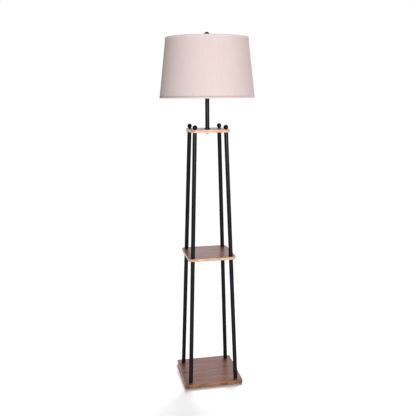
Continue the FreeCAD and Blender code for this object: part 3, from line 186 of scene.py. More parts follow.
class StageSettings(bpy.types.PropertyGroup):
    floor: colour("Floor", "Pale floor as the camera sees it", "ffffff")
    floor_bounce: colour("Floor bounce", "Floor as it throws light back at the lamp", "c8c8c8")
    floor_reach: length("Floor reach", "Distance from the lamp to each side of the floor", 200)
    floor_gap: length("Floor gap", "Space between the rubber pads and the floor", 0.3 * MM)
    ambient: bpy.props.FloatProperty(
        name="Ambient", description="Light that comes evenly from all round", default=0.14, min=0)
    front_power: bpy.props.FloatProperty(
        name="Front light", description="Upright soft light behind the camera", default=52, min=0,
        unit="POWER")
    front_width: length("Front light width", "Width of the front light", 0.45)
    front_height: length("Front light height", "Height of the front light", 0.95)
    front_place: position("Front light place", "Middle of the front light", (-0.10, -2.90, 1.35))
    front_target: position("Front light target", "Point that the front light shines at",
                           (0.0, 0.0, 1.05))
    top_strength: bpy.props.FloatProperty(
        name="Top light", description="Broad soft light from above, behind and to the right",
        default=3.65, min=0)
    top_breadth: turning("Top light breadth", "Angle of sky that the top light fills",
                         math.radians(34))
    top_place: position("Top light place", "Where the top light shines from, at the lamp's foot",
                        (0.45, 0.89, 1.15))
    camera_place: position("Camera", "Where the camera stands", (-0.4996, -2.4989, 1.2916))
    camera_pan: turning("Pan", "Turn of the camera to the right", 0.1976)
    camera_tilt: turning("Tilt", "Turn of the camera downwards", 0.195)
    camera_roll: turning("Roll", "Turn of the camera about its view", -0.006)
    camera_lens: bpy.props.FloatProperty(
        name="Lens", description="Focal length of the camera", default=50.95, min=1, unit="CAMERA")
    camera_sensor: bpy.props.FloatProperty(
        name="Sensor", description="Width of the camera's sensor", default=36, min=1, unit="CAMERA")


GROUPS = {
    "lamp_boards": BoardSettings,
    "lamp_metal": MetalSettings,
    "lamp_shade": ShadeSettings,
    "lamp_holder": HolderSettings,
    "lamp_stage": StageSettings,
}


# Materials. A pattern's scale is one over its size.

GREY = (0.5, 0.5, 0.5)
WHITE = (1, 1, 1)

# The sockets of a Mix node, which share their names: its factor, the numbers or colours that it
# mixes, and the colour that it gives.
FACTOR, NUMBER_A, NUMBER_B, COLOUR_A, COLOUR_B = 0, 2, 3, 6, 7
MIXED_COLOUR = 2

# How much a black gets lighter where a colour drifts by the whole of itself.
BLACK_LIFT = 0.02

# The veneer's dark lines: how many line widths lie from one to the next, how many times as long as
# wide they are, how many times as broad the bands under them are, and how much those bands show.
LINE_PITCH = 2.4
LINE_LENGTH = 40
BAND_WIDTH = 9
BAND_SHARE = 0.35

# How many times as long as it is wide a pore is, and what it leaves of the veneer's colour.
PORE_LENGTH = 30
PORE_SHADE = (0.70, 0.67, 0.67)

# Where the edge band's painted shade at the corners starts and ends, as shares of x times y at a
# sharp corner.
PAINTED_SHADE_START, PAINTED_SHADE_END = 0.66, 0.95

# How many times as long as it is wide a slub is, how much the level ones show, and how much the
# weave shows in the cloth's colour and in its relief.
SLUB_LENGTH = 24
LEVEL_SHARE = 0.3
WEAVE_IN_COLOUR = 0.03
WEAVE_IN_RELIEF = 0.3


def opaque(shade):
    return (*shade, 1)


def spots(width):
    """The scale of a noise whose spots have this width, which is half of a wave."""
    return 1 / (2 * width)


def add(tree, kind, sockets=None, stops=(), **options):
    """Add a node. sockets fills its inputs with values or outputs, stops sets a ramp's ends."""
    node = tree.nodes.new(kind)
    for option, choice in options.items():
        setattr(node, option, choice)
    for socket, given in (sockets or {}).items():
        if isinstance(given, bpy.types.NodeSocket):
            tree.links.new(given, node.inputs[socket])
        else:
            node.inputs[socket].default_value = given
    for number, (place, shade) in enumerate(stops):
        stop = node.color_ramp.elements[number]
        stop.position = place
        stop.color = opaque(shade)
    return node


def new_material(name):
    made = bpy.data.materials.new(name)
    made.use_nodes = True
    made.node_tree.nodes.clear()
    return made, made.node_tree


def surface(tree, **inputs):
    """Close a material with its one shader. Uniform values go straight to the shader's sockets."""
    shader = add(tree, "ShaderNodeBsdfPrincipled",
                 {socket.replace("_", " "): given for socket, given in inputs.items()},
                 distribution="GGX")
    add(tree, "ShaderNodeOutputMaterial", {"Surface": shader.outputs[0]})


def drifting(tree, place, shade, share, cloud):
    """A colour that drifts lighter and darker by a share of itself, in clouds of this width."""
    noise = add(tree, "ShaderNodeTexNoise", {"Vector": place, "Scale": 1 / cloud, "Detail": 3.0})
    lighter = tuple(min(c * (1 + share) + share * BLACK_LIFT, 1) for c in shade)
    darker = tuple(c * (1 - share) for c in shade)
    return add(tree, "ShaderNodeValToRGB", {"Fac": noise.outputs["Fac"]},
               stops=((0.3, darker), (0.7, lighter))).outputs["Color"]


def veneer_face(tree, place):
    """The face of a board. Gives its colour, its dark lines and its open pores."""
    look = bpy.context.scene.lamp_boards

    # The lines wander by a few millimetres over the width of a board.
    wander = add(tree, "ShaderNodeTexNoise", {"Vector": place, "Scale": 1 / look.wander_length,
                                              "Detail": 1.0})
    centred = add(tree, "ShaderNodeVectorMath", {0: wander.outputs["Color"], 1: GREY},
                  operation="SUBTRACT")
    sideways = add(tree, "ShaderNodeVectorMath",
                   {0: centred.outputs[0], 1: (0.0, look.line_wander, 0.0)}, operation="MULTIPLY")
    bent = add(tree, "ShaderNodeVectorMath", {0: place, 1: sideways.outputs[0]}, operation="ADD")

    # Fine lines over broader bands.
    across = 1 / (LINE_PITCH * look.line_width)
    along = across / LINE_LENGTH
    lines = add(tree, "ShaderNodeMapping",
                {"Vector": bent.outputs[0], "Scale": (along, across, along)})
    fine = add(tree, "ShaderNodeTexNoise", {"Vector": lines.outputs[0], "Scale": 1.0, "Detail": 5.0,
                                            "Roughness": 0.62})
    bands = add(tree, "ShaderNodeMapping",
                {"Vector": bent.outputs[0], "Scale": (along, across / BAND_WIDTH, along)})
    broad = add(tree, "ShaderNodeTexNoise", {"Vector": bands.outputs[0], "Scale": 1.0,
                                             "Detail": 2.0})
    figure = add(tree, "ShaderNodeMix", {FACTOR: BAND_SHARE, NUMBER_A: fine.outputs["Fac"],
                                         NUMBER_B: broad.outputs["Fac"]})
    veneer = add(tree, "ShaderNodeValToRGB", {"Fac": figure.outputs[0]},
                 stops=((0.37, look.veneer_dark), (0.59, look.veneer)))

    # Open pores, which are darker than the veneer round them.
    across = spots(look.pore_width)
    along = across / PORE_LENGTH
    grooves = add(tree, "ShaderNodeMapping", {"Vector": place, "Scale": (along, across, along)})
    specks = add(tree, "ShaderNodeTexNoise", {"Vector": grooves.outputs[0], "Scale": 1.0,
                                              "Detail": 1.0})
    pores = add(tree, "ShaderNodeValToRGB", {"Fac": specks.outputs["Fac"]},
                stops=((0.34, PORE_SHADE), (0.42, WHITE)))
    face = add(tree, "ShaderNodeMix", {FACTOR: 1.0, COLOUR_A: veneer.outputs["Color"],
                                       COLOUR_B: pores.outputs["Color"]},
               data_type="RGBA", blend_type="MULTIPLY")
    return face.outputs[MIXED_COLOUR], fine.outputs["Fac"], pores.outputs["Color"]


def edge_band(tree, place, reach, edge, edge_grain_and_bend_shade):
    """The colour of the band round a board, whose sides are at reach from the lamp's axis."""
    look = bpy.context.scene.lamp_boards

    # Streaks along the edge in thin layers, over a slow drift.
    along, up = 1 / look.edge_streak, 1 / look.edge_layer
    layers = add(tree, "ShaderNodeMapping", {"Vector": place, "Scale": (along, along, up)})
    streaks = add(tree, "ShaderNodeTexNoise", {"Vector": layers.outputs[0], "Scale": 1.0,
                                               "Detail": 4.0, "Roughness": 0.6})
    slow = add(tree, "ShaderNodeTexNoise", {"Vector": place, "Scale": 1 / look.edge_cloud,
                                            "Detail": 2.0})
    grain = add(tree, "ShaderNodeMix", {FACTOR: 0.5, NUMBER_A: streaks.outputs["Fac"],
                                        NUMBER_B: slow.outputs["Fac"]})
    band = add(tree, "ShaderNodeValToRGB", {"Fac": grain.outputs[0]},
               stops=((0.40, edge_grain_and_bend_shade), (0.56, edge)))

    # The product of x and y is greatest at the corners, where the band bends round and gets a
    # painted shade in its darker grain colour.
    split = add(tree, "ShaderNodeSeparateXYZ", {"Vector": place})
    product = add(tree, "ShaderNodeMath", {0: split.outputs["X"], 1: split.outputs["Y"]},
                  operation="MULTIPLY")
    corner = add(tree, "ShaderNodeMath", {0: product.outputs[0]}, operation="ABSOLUTE")
    painted_bend_shade = add(tree, "ShaderNodeMapRange", {"Value": corner.outputs[0],
                                            "From Min": PAINTED_SHADE_START * reach ** 2,
                                            "From Max": PAINTED_SHADE_END * reach ** 2})
    return add(tree, "ShaderNodeMix", {FACTOR: painted_bend_shade.outputs[0], COLOUR_A: band.outputs["Color"],
                                       COLOUR_B: opaque(edge_grain_and_bend_shade)},
               data_type="RGBA").outputs[MIXED_COLOUR]


def walnut_board(name, node, edge, edge_grain_and_bend_shade):
    """Walnut veneer, cut lengthwise and lacquered, with an edge band of lighter wood.

    The eye sees fine, straight, darker lines along the board, short open pores, and a lacquer that
    turns paler and mirrors the tubes as the view gets flatter. The band has its own finer grain and
    a painted shade where it bends round the corners. The lines are drawn a little coarser than
    real, so that they show at the picture's size."""
    look = bpy.context.scene.lamp_boards
    made, tree = new_material(name)
    place = add(tree, "ShaderNodeTexCoord").outputs["Object"]
    low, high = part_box(node)
    face, lines, pores = veneer_face(tree, place)
    band = edge_band(tree, place, high.x, edge, edge_grain_and_bend_shade)

    # The veneer covers the two faces, and the band starts below its thickness.
    height = add(tree, "ShaderNodeSeparateXYZ", {"Vector": place}).outputs["Z"]
    from_middle = add(tree, "ShaderNodeMath", {0: height, 1: (low.z + high.z) / 2},
                      operation="SUBTRACT")
    away = add(tree, "ShaderNodeMath", {0: from_middle.outputs[0]}, operation="ABSOLUTE")
    is_face = add(tree, "ShaderNodeMath",
                  {0: away.outputs[0], 1: (high.z - low.z) / 2 - look.veneer_thick},
                  operation="GREATER_THAN")
    wood = add(tree, "ShaderNodeMix", {FACTOR: is_face.outputs[0], COLOUR_A: band, COLOUR_B: face},
               data_type="RGBA")
    rough = add(tree, "ShaderNodeMapRange", {"Value": lines, "From Min": 0.3, "From Max": 0.7,
                                             "To Min": 0.24, "To Max": 0.36})
    depth = add(tree, "ShaderNodeMath", {0: lines, 1: pores}, operation="MULTIPLY")
    bump = add(tree, "ShaderNodeBump", {"Strength": 0.2, "Distance": 0.1 * MM,
                                        "Height": depth.outputs[0]})
    surface(tree, Base_Color=wood.outputs[MIXED_COLOUR], Roughness=rough.outputs[0],
            Normal=bump.outputs[0], Specular_IOR_Level=0.55)
    return made


def powder_coated_steel():
    """Steel tube, powder coated: satin black with a fine orange peel, and a soft highlight down the
    middle that fades towards the sides, where the coat gets rougher to the eye."""
    look = bpy.context.scene.lamp_metal
    made, tree = new_material("steel_tube_powder_coated_black")
    place = add(tree, "ShaderNodeTexCoord").outputs["Object"]
    graze = add(tree, "ShaderNodeLayerWeight", {"Blend": 0.5})
    rough = add(tree, "ShaderNodeMapRange", {"Value": graze.outputs["Facing"], "From Min": 0.05,
                                             "From Max": 0.30, "To Min": 0.28, "To Max": 1.0})
    peel = add(tree, "ShaderNodeTexNoise", {"Vector": place, "Scale": spots(look.powder_grain),
                                            "Detail": 2.0})
    bump = add(tree, "ShaderNodeBump", {"Strength": 0.06, "Distance": 0.04 * MM,
                                        "Height": peel.outputs["Fac"]})
    cool_shine = (0.9, 0.88, 1.0)
    surface(tree, Base_Color=drifting(tree, place, look.powder_black, share=0.04, cloud=25 * MM),
            Roughness=rough.outputs[0], Normal=bump.outputs[0], Specular_IOR_Level=0.17,
            Specular_Tint=opaque(cool_shine))
    return made


def lacquered_ball():
    """Turned wood, lacquered black: nearly smooth, with one small bright spot on each ball."""
    look = bpy.context.scene.lamp_metal
    made, tree = new_material("turned_wood_lacquered_black")
    place = add(tree, "ShaderNodeTexCoord").outputs["Object"]
    graze = add(tree, "ShaderNodeLayerWeight", {"Blend": 0.5})
    rough = add(tree, "ShaderNodeMapRange", {"Value": graze.outputs["Facing"], "From Min": 0.1,
                                             "From Max": 0.5, "To Min": 0.11, "To Max": 1.0})
    wave = add(tree, "ShaderNodeTexNoise", {"Vector": place, "Scale": 1 / look.lacquer_wave,
                                            "Detail": 1.0})
    bump = add(tree, "ShaderNodeBump", {"Strength": 0.05, "Distance": 0.03 * MM,
                                        "Height": wave.outputs["Fac"]})
    surface(tree, Base_Color=drifting(tree, place, look.lacquer_black, share=0.04, cloud=11.1 * MM),
            Roughness=rough.outputs[0], Normal=bump.outputs[0], Specular_IOR_Level=0.14)
    return made


def plated(name, shade, roughness, brush):
    """Plated or rolled metal: bright, with the fine lines that drawing or rolling leaves. brush is
    the number of lines in a millimetre along each axis."""
    made, tree = new_material(name)
    place = add(tree, "ShaderNodeTexCoord").outputs["Object"]
    strokes = add(tree, "ShaderNodeMapping",
                  {"Vector": place, "Scale": [lines / MM for lines in brush]})
    marks = add(tree, "ShaderNodeTexNoise", {"Vector": strokes.outputs[0], "Scale": 1.0,
                                             "Detail": 3.0})
    smoother, rougher = roughness - 0.07, roughness + 0.09
    rough = add(tree, "ShaderNodeMapRange", {"Value": marks.outputs["Fac"], "To Min": smoother,
                                             "To Max": rougher})
    bump = add(tree, "ShaderNodeBump", {"Strength": 0.08, "Distance": 0.02 * MM,
                                        "Height": marks.outputs["Fac"]})
    surface(tree, Base_Color=drifting(tree, place, shade, share=0.06, cloud=16.7 * MM),
            Metallic=1.0, Roughness=rough.outputs[0], Normal=bump.outputs[0])
    return made


def matt_skin(name, shade, roughness, grain=0.25 * MM, drift=0.08, **more):
    """Moulded, painted or rolled: one colour with a faint cloud in it and a fine grain that breaks
    up the highlight."""
    made, tree = new_material(name)
    place = add(tree, "ShaderNodeTexCoord").outputs["Object"]
    grit = add(tree, "ShaderNodeTexNoise", {"Vector": place, "Scale": spots(grain), "Detail": 2.0})
    worn = add(tree, "ShaderNodeTexNoise", {"Vector": place, "Scale": 1 / (12.5 * MM),
                                            "Detail": 2.0})
    smoother, rougher = roughness - 0.04, roughness + 0.05
    rough = add(tree, "ShaderNodeMapRange", {"Value": worn.outputs["Fac"], "From Min": 0.3,
                                             "From Max": 0.7, "To Min": smoother,
                                             "To Max": rougher})
    bump = add(tree, "ShaderNodeBump", {"Strength": 0.15, "Distance": 0.04 * MM,
                                        "Height": grit.outputs["Fac"]})
    surface(tree, Base_Color=drifting(tree, place, shade, share=drift, cloud=18.2 * MM),
            Roughness=rough.outputs[0], Normal=bump.outputs[0], **more)
    return made


def woven_cloth(name):
    """Linen and cotton, plain woven: matt, with faint upright bands where the yarn is thicker.

    The threads follow the piece's own UV map, which is the flat cut of the cloth in metres. The
    slubs are drawn at a few millimetres, which is as fine as the picture shows."""
    look = bpy.context.scene.lamp_shade
    made, tree = new_material(name)
    cut = add(tree, "ShaderNodeUVMap", uv_map="flat_cut").outputs["UV"]

    # Two waves that cross, with half a turn for each thread.
    turns = math.pi / look.thread_spacing
    threads = add(tree, "ShaderNodeVectorMath", {0: cut, 1: (turns, turns, 0.0)},
                  operation="MULTIPLY")
    ways = add(tree, "ShaderNodeSeparateXYZ", {"Vector": threads.outputs[0]})
    warp = add(tree, "ShaderNodeMath", {0: ways.outputs["X"]}, operation="SINE")
    weft = add(tree, "ShaderNodeMath", {0: ways.outputs["Y"]}, operation="SINE")
    weave = add(tree, "ShaderNodeMath", {0: warp.outputs[0], 1: weft.outputs[0]},
                operation="MULTIPLY")

    # Slubs that run up the shade and, fainter, round it.
    across = 1 / look.slub_spacing
    along = across / SLUB_LENGTH
    uprights = add(tree, "ShaderNodeMapping", {"Vector": cut, "Scale": (across, along, 1.0)})
    upright = add(tree, "ShaderNodeTexNoise", {"Vector": uprights.outputs[0], "Scale": 1.0,
                                               "Detail": 4.0, "Roughness": 0.65})
    levels = add(tree, "ShaderNodeMapping", {"Vector": cut, "Scale": (along, across, 1.0)})
    level = add(tree, "ShaderNodeTexNoise", {"Vector": levels.outputs[0], "Scale": 1.0,
                                             "Detail": 4.0, "Roughness": 0.65})
    slubs = add(tree, "ShaderNodeMix", {FACTOR: LEVEL_SHARE, NUMBER_A: upright.outputs["Fac"],
                                        NUMBER_B: level.outputs["Fac"]})

    tone = add(tree, "ShaderNodeMath", {0: weave.outputs[0], 1: WEAVE_IN_COLOUR,
                                        2: slubs.outputs[0]}, operation="MULTIPLY_ADD")
    cloth = add(tree, "ShaderNodeValToRGB", {"Fac": tone.outputs[0]},
                stops=((0.25, look.cloth_dark), (0.62, look.cloth)))
    relief = add(tree, "ShaderNodeMath", {0: weave.outputs[0], 1: WEAVE_IN_RELIEF,
                                          2: slubs.outputs[0]}, operation="MULTIPLY_ADD")
    bump = add(tree, "ShaderNodeBump", {"Strength": 0.3, "Distance": 0.12 * MM,
                                        "Height": relief.outputs[0]})
    surface(tree, Base_Color=cloth.outputs["Color"], Roughness=0.92, Normal=bump.outputs[0],
            Specular_IOR_Level=0.18)
    return made


# Pieces.

def dress(made, *nodes):
    """Give CAD nodes a material in place of their plain one."""
    for node in nodes:
        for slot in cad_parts[node].material_slots:
            slot.material = made


def piece(name, shape, made, body):
    """Make an object of a bmesh, at the origin, riding on a body."""
    mesh = bpy.data.meshes.new(name)
    shape.to_mesh(mesh)
    shape.free()
    mesh.materials.append(made)
    for face in mesh.polygons:
        face.use_smooth = True
    thing = bpy.data.objects.new(name, mesh)
    bpy.context.scene.collection.objects.link(thing)
    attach(thing, body)
    return thing


def drawn(points):
    """A profile through (radius, height) points, drawn in the plane over the x axis."""
    shape = bmesh.new()
    corners = [shape.verts.new((radius, 0, height)) for radius, height in points]
    for pair in zip(corners, corners[1:]):
        shape.edges.new(pair)
    return shape


def shade_wall(low, high, levels, inset):
    """A profile of part of the shade's wall, less an inset, in this many levels."""
    heights = [low + (high - low) * level / levels for level in range(levels + 1)]
    return drawn([(shade_radius(height, inset), height) for height in heights])


def spun(shape, steps, start=0.0, angle=FULL_TURN):
    """Turn a profile by start, and spin it round the lamp's axis. The sheet that this gives faces
    outwards where it is widest."""
    bmesh.ops.rotate(shape, verts=shape.verts, cent=(0, 0, 0),
                     matrix=Matrix.Rotation(start, 3, "Z"))
    bmesh.ops.spin(shape, geom=shape.verts[:] + shape.edges[:], cent=(0, 0, 0), axis=(0, 0, 1),
                   angle=angle, steps=steps, use_merge=angle == FULL_TURN, use_duplicate=False)
    bmesh.ops.remove_doubles(shape, verts=shape.verts, dist=MERGE)
    bmesh.ops.recalc_face_normals(shape, faces=shape.faces)
    widest = max(shape.faces, key=lambda face: face.calc_center_median().xy.length)
    if widest.normal.xy.dot(widest.calc_center_median().xy) < 0:
        bmesh.ops.reverse_faces(shape, faces=shape.faces)
    return shape


def flat_cut(shape):
    """Lay the cone out flat as its cloth was cut, in metres, with the cut's middle at the front."""
    layer = shape.loops.layers.uv.new("flat_cut")
    for face in shape.faces:
        middle = face.calc_center_median()
        facing = math.atan2(middle.x, -middle.y)
        for loop in face.loops:
            point = loop.vert.co
            turn = math.atan2(point.x, -point.y)
            turn += round((facing - turn) / FULL_TURN) * FULL_TURN
            outside = shade_radius(point.z, 0)
            reach = outside / SHADE_OPENING + point.xy.length - outside
            loop[layer].uv = (reach * math.sin(turn * SHADE_OPENING),
                              -reach * math.cos(turn * SHADE_OPENING))


def thicken(thing, depth):
    """Give a sheet its thickness, inwards."""
    wall = thing.modifiers.new("thickness", "SOLIDIFY")
    wall.thickness = depth
    wall.offset = -1


class LAMP_OT_boards(bpy.types.Operator):
    """Veneer the base board and the two shelves"""
    bl_idname = "lamp.boards"
    bl_label = "Boards"

    def execute(self, context):
        look = context.scene.lamp_boards
        shelf = (look.shelf_edge, look.shelf_edge_grain_and_bend_shade)
        # The base edge colours are darker partly as painted shade near the floor.
        base = (look.base_edge_with_painted_shade, look.base_edge_grain_and_painted_shade)
        for board, edges in (("base_board", base), ("middle_shelf", shelf), ("top_shelf", shelf)):
            dress(walnut_board(f"walnut_veneer_on_{board}", board, *edges), board)
        return {"FINISHED"}


class LAMP_OT_tubes(bpy.types.Operator):
    """Powder coat the legs and the stem"""
    bl_idname = "lamp.tubes"
    bl_label = "Tubes"

    def execute(self, context):
        legs = [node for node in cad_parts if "_leg_" in node and "plugs" not in node]
        dress(powder_coated_steel(), "stem_tube", "stem_seat_ring", *legs)
        return {"FINISHED"}


class LAMP_OT_balls(bpy.types.Operator):
    """Lacquer the ball knobs and the finial"""
    bl_idname = "lamp.balls"
    bl_label = "Balls"

    def execute(self, context):
        dress(lacquered_ball(), "ball_knobs", "finial")
        return {"FINISHED"}


class LAMP_OT_fasteners(bpy.types.Operator):
    """Plate the bolts, plugs, studs and nuts, thread the pipe and colour the rubber pads"""
    bl_idname = "lamp.fasteners"
    bl_label = "Fasteners"

    def execute(self, context):
        plugs = [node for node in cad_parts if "plugs" in node]
        zinc = plated("steel_zinc_plated", context.scene.lamp_metal.zinc, roughness=0.32,
                      brush=(0.3, 0.3, 0.9))
        dress(zinc, "base_washers", "base_bolts", "middle_shelf_studs", "threaded_pipe",
              "pipe_washer", "pipe_nut", "cap_set_screw", *plugs)
        rubber = context.scene.lamp_holder.rubber
        dress(matt_skin("rubber_moulded", rubber, roughness=0.8), "foot_pads")
        self.thread(zinc)
        return {"FINISHED"}

    def thread(self, zinc):
        """The thread on the end of the pipe, from the cord bush up to the nut."""
        look = bpy.context.scene.lamp_holder
        rise, depth, gap = look.pipe_thread, look.pipe_thread_depth, look.pipe_thread_gap
        low, high = bottom_of("threaded_pipe"), bottom_of("pipe_nut")
        root = radius_of("threaded_pipe") - depth / 2

        # One ridge with a sharp crest starts a turn too low, and both ends are then cut level.
        start, foot = low - rise, 0.8 * rise
        shape = drawn(((root, start), (root + depth, start + foot / 2), (root, start + foot)))
        turns = math.ceil((high - low) / rise) + 2
        bmesh.ops.spin(shape, geom=shape.verts[:] + shape.edges[:], cent=(0, 0, 0),
                       axis=(0, 0, 1), dvec=(0, 0, rise / THREAD_STEPS), angle=turns * FULL_TURN,
                       steps=turns * THREAD_STEPS, use_merge=False, use_duplicate=False)
        for level, way in ((low + gap, -1), (high - gap, 1)):
            bmesh.ops.bisect_plane(shape, geom=shape.verts[:] + shape.edges[:] + shape.faces[:],
                                   dist=ON_PLANE, plane_co=(0, 0, level), plane_no=(0, 0, way),
                                   clear_outer=True)
        bmesh.ops.recalc_face_normals(shape, faces=shape.faces)
        piece("pipe_thread", shape, zinc, "stand")


class LAMP_OT_holder(bpy.types.Operator):
    """Finish the harp, the lamp holder and its switch"""
    bl_idname = "lamp.holder"
    bl_label = "Harp and lamp holder"

    def execute(self, context):
        metal = context.scene.lamp_metal
        look = context.scene.lamp_holder
        dress(plated("steel_wire_nickel_plated", metal.nickel, roughness=0.22,
                     brush=(0.9, 0.9, 0.2)),
              "harp_saddle", "harp_wire", "harp_seat", "harp_sleeve_left", "harp_sleeve_right")
        dress(plated("steel_sheet_nickel_plated", metal.nickel, roughness=0.18,
                     brush=(0.2, 0.2, 1.4)),
              "socket_cap", "socket_shell")
        dress(plated("brass_turned", metal.brass, roughness=0.28, brush=(0.7, 0.7, 0.7)),
              "terminal_screws", "centre_contact", "switch_shaft")
        dress(plated("aluminium_rolled", metal.aluminium, roughness=0.34, brush=(0.2, 0.2, 1.2)),
              "screw_shell", "bulb_contact", "bulb_cap")
        dress(matt_skin("phenolic_moulded_black", look.black_plastic, roughness=0.38),
              "switch_key", "cord_bush", "socket_core", "bulb_insulator")
        dress(matt_skin("card_rolled", look.card, roughness=0.9, grain=0.6 * MM), "socket_liner")
        return {"FINISHED"}


class LAMP_OT_bulb(bpy.types.Operator):
    """Finish the bulb's housing and its frosted globe"""
    bl_idname = "lamp.bulb"
    bl_label = "Bulb"

    def execute(self, context):
        look = context.scene.lamp_holder
        dress(matt_skin("polyester_moulded_white", look.bulb_plastic, roughness=0.4),
              "bulb_housing")
        dress(matt_skin("polycarbonate_frosted", look.bulb_frost, roughness=0.5,
                        Subsurface_Weight=0.3, Subsurface_Scale=4 * MM), "bulb_globe")
        return {"FINISHED"}


class LAMP_OT_shade_cover(bpy.types.Operator):
    """Make the woven cover of the drum shade, its folded hems and the lapped seam at the back"""
    bl_idname = "lamp.shade_cover"
    bl_label = "Shade cover"

    def execute(self, context):
        look = context.scene.lamp_shade
        cloth = woven_cloth("linen_cotton_cloth_woven")
        low, high = bottom_of("shade_cover"), top_of("shade_cover")

        # The fold of the hem lies as far outside the cover as it does below it.
        inset = low - SHADE_LOW
        shape = spun(shade_wall(low, high, COVER_LEVELS, inset), COVER_STEPS)
        flat_cut(shape)
        cover = piece("shade_cloth", shape, cloth, "shade")
        thicken(cover, look.cover_cloth)
        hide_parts("shade_cover")
        hems = [self.hem("shade_bottom_hem", bottom_of, top_of, cloth),
                self.hem("shade_top_hem", top_of, bottom_of, cloth)]
        seam = self.seam(inset, cloth)

        return {"FINISHED"}

    def hem(self, node, rim_of, end_of, cloth):
        """A strip folded over the layers and the wire ring of one rim. rim_of gives the height of
        the rim, and end_of the height at which the strip ends."""
        look = bpy.context.scene.lamp_shade
        rim, end, width = rim_of(node), end_of(node), look.hem_width
        shape = drawn(((shade_radius(end, 0), end), (shade_radius(rim, 0), rim),
                       (shade_radius(rim, width), rim), (shade_radius(end, width), end)))
        shape.verts.ensure_lookup_table()
        bmesh.ops.bevel(shape, geom=shape.verts[1:3], offset=look.hem_round, offset_type="OFFSET",
                        segments=HEM_ROUND_STEPS, profile=0.5, affect="VERTICES", material=-1)
        spun(shape, HEM_STEPS, math.pi / HEM_STEPS)
        if node == "shade_top_hem":
            self.open_for_spokes(shape, rim)
        flat_cut(shape)
        hem = piece(f"{node}_fold", shape, cloth, "shade")
        thicken(hem, look.hem_cloth)
        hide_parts(node)
        return hem

    def open_for_spokes(self, shape, rim):
        """Leave out the faces inside the fold that the spokes go through, one row for each."""
        look = bpy.context.scene.lamp_shade
        for number in range(SPOKES):
            spoke = Matrix.Rotation(number * FULL_TURN / SPOKES, 2) @ Vector((1, 0))
            inside = []
            for face in shape.faces:
                middle = face.calc_center_median()
                inner = shade_radius(middle.z, look.hem_width - look.hem_round)
                if (middle.xy.length < inner and middle.z < rim - look.hem_cloth
                        and middle.xy.angle(spoke) < math.pi / HEM_STEPS):
                    inside.append(face)
            bmesh.ops.delete(shape, geom=inside, context="FACES")

    def seam(self, inset, cloth):
        """The strip at the back where the cloth laps over itself, between the hems."""
        look = bpy.context.scene.lamp_shade
        low, high = top_of("shade_bottom_hem"), bottom_of("shade_top_hem")
        lap = look.hem_cloth / 2
        half = look.seam_width / (shade_radius(low, 0) + shade_radius(high, 0))
        shape = spun(shade_wall(low, high, SEAM_LEVELS, inset - lap), SEAM_STEPS, BACK - half,
                     2 * half)
        flat_cut(shape)
        seam = piece("shade_seam", shape, cloth, "shade")
        thicken(seam, lap)
        return seam


class LAMP_OT_shade_inside(bpy.types.Operator):
    """Finish the lining, the rings and the spider of the shade"""
    bl_idname = "lamp.shade_inside"
    bl_label = "Shade inside"

    def execute(self, context):
        look = context.scene.lamp_shade
        dress(matt_skin("styrene_sheet_rolled_matt", look.lining, roughness=0.6, drift=0.02),
              "shade_lining")
        dress(matt_skin("steel_wire_enamelled", look.wire, roughness=0.35),
              "shade_bottom_ring", "shade_spider")
        return {"FINISHED"}


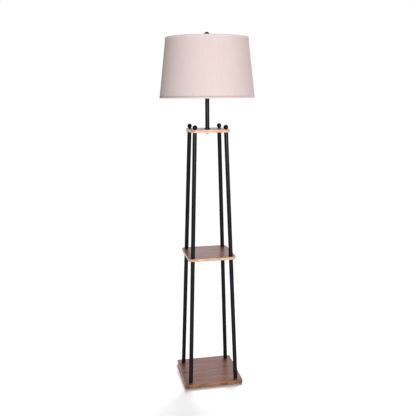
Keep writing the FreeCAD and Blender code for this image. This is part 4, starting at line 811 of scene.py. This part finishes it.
class LAMP_OT_stage(bpy.types.Operator):
    """Set the floor, the lights, the background and the camera"""
    bl_idname = "lamp.stage"
    bl_label = "Stage"

    def execute(self, context):
        scene = context.scene
        look = scene.lamp_stage
        self.floor(scene, look)
        self.background(scene, look)
        self.lights(look)
        self.camera(scene, look)
        scene.view_settings.view_transform = "Standard"
        return {"FINISHED"}

    def floor(self, scene, look):
        """A pale floor that keeps the lamp's shadow and meets the white background."""
        shape = bmesh.new()
        bmesh.ops.create_grid(shape, x_segments=1, y_segments=1, size=look.floor_reach,
                              matrix=Matrix.Translation((0, 0, -look.floor_gap)))
        mesh = bpy.data.meshes.new("floor")
        shape.to_mesh(mesh)
        shape.free()
        floor = bpy.data.objects.new("floor", mesh)
        scene.collection.objects.link(floor)
        made, tree = new_material("painted_floor_pale")
        paint = add(tree, "ShaderNodeMix",
                    {FACTOR: self.seen(tree), COLOUR_A: opaque(look.floor_bounce),
                     COLOUR_B: opaque(look.floor)}, data_type="RGBA")
        surface(tree, Base_Color=paint.outputs[MIXED_COLOUR], Roughness=0.9,
                Specular_IOR_Level=0.0)
        mesh.materials.append(made)

    def background(self, scene, look):
        """A white background for the eye and for reflections, over a softer even light."""
        world = bpy.data.worlds.new("plain_white")
        world.use_nodes = True
        scene.world = world
        tree = world.node_tree
        tree.nodes.clear()
        strength = add(tree, "ShaderNodeMapRange", {"Value": self.seen(tree),
                                                    "To Min": look.ambient, "To Max": 1.0})
        sky = add(tree, "ShaderNodeBackground", {"Color": opaque(WHITE),
                                                 "Strength": strength.outputs[0]})
        add(tree, "ShaderNodeOutputWorld", {"Surface": sky.outputs[0]})

    def seen(self, tree):
        """1 for the camera's rays and for those that gloss or glass sends on, 0 for the rest."""
        path = add(tree, "ShaderNodeLightPath")
        direct = add(tree, "ShaderNodeMath", {0: path.outputs["Is Camera Ray"],
                                              1: path.outputs["Is Glossy Ray"]},
                     operation="MAXIMUM")
        return add(tree, "ShaderNodeMath", {0: direct.outputs[0],
                                            1: path.outputs["Is Transmission Ray"]},
                   operation="MAXIMUM").outputs[0]

    def lights(self, look):
        """An upright soft box gives the tubes their long highlight. A broad light from above keeps
        the floor evenly bright as far as the background, and gloss shows the background instead of
        that light."""
        front = self.light("front_light", "AREA", look.front_place, look.front_target)
        front.data.shape = "RECTANGLE"
        front.data.size = look.front_width
        front.data.size_y = look.front_height
        front.data.energy = look.front_power
        top = self.light("top_light", "SUN", look.top_place, (0.0, 0.0, 0.0))
        top.data.angle = look.top_breadth
        top.data.energy = look.top_strength
        top.visible_glossy = False

    def light(self, name, kind, place, target):
        """Add a light at a place that shines at a target."""
        light = bpy.data.objects.new(name, bpy.data.lights.new(name, kind))
        light.location = place
        light.rotation_euler = (Vector(target) - Vector(place)).to_track_quat("-Z", "Y").to_euler()
        bpy.context.scene.collection.objects.link(light)
        return light

    def camera(self, scene, look):
        """Stand the camera where the photo was taken from."""
        camera = bpy.data.objects.new("camera", bpy.data.cameras.new("camera"))
        scene.collection.objects.link(camera)
        camera.data.sensor_width = look.camera_sensor
        camera.data.lens = look.camera_lens
        camera.matrix_world = (Matrix.Translation(look.camera_place)
                               @ Matrix.Rotation(-look.camera_pan, 4, "Z")
                               @ Matrix.Rotation(math.pi / 2 - look.camera_tilt, 4, "X")
                               @ Matrix.Rotation(look.camera_roll, 4, "Z"))
        scene.camera = camera


class LAMP_PT_panel(bpy.types.Panel):
    """Lists the settings of the lamp and the steps that dress it"""
    bl_idname = "LAMP_PT_panel"
    bl_label = "Shelf floor lamp"
    bl_space_type = "VIEW_3D"
    bl_region_type = "UI"
    bl_category = "Lamp"

    def draw(self, context):
        for group in GROUPS:
            box = self.layout.box()
            settings = getattr(context.scene, group)
            for name in settings.__annotations__:
                box.prop(settings, name)
        for step in STEPS:
            self.layout.operator(step.bl_idname)


STEPS = (LAMP_OT_boards, LAMP_OT_tubes, LAMP_OT_balls, LAMP_OT_fasteners, LAMP_OT_holder,
         LAMP_OT_bulb, LAMP_OT_shade_cover, LAMP_OT_shade_inside, LAMP_OT_stage)


def register():
    for made in (*GROUPS.values(), *STEPS, LAMP_PT_panel):
        bpy.utils.register_class(made)
    for name, group in GROUPS.items():
        setattr(bpy.types.Scene, name, bpy.props.PointerProperty(type=group))


def unregister():
    for name in GROUPS:
        delattr(bpy.types.Scene, name)
    for made in reversed((*GROUPS.values(), *STEPS, LAMP_PT_panel)):
        bpy.utils.unregister_class(made)


def main():
    register()
    for step in STEPS:
        group, action = step.bl_idname.split(".")
        getattr(getattr(bpy.ops, group), action)()


if __name__ == "__main__":
    main()
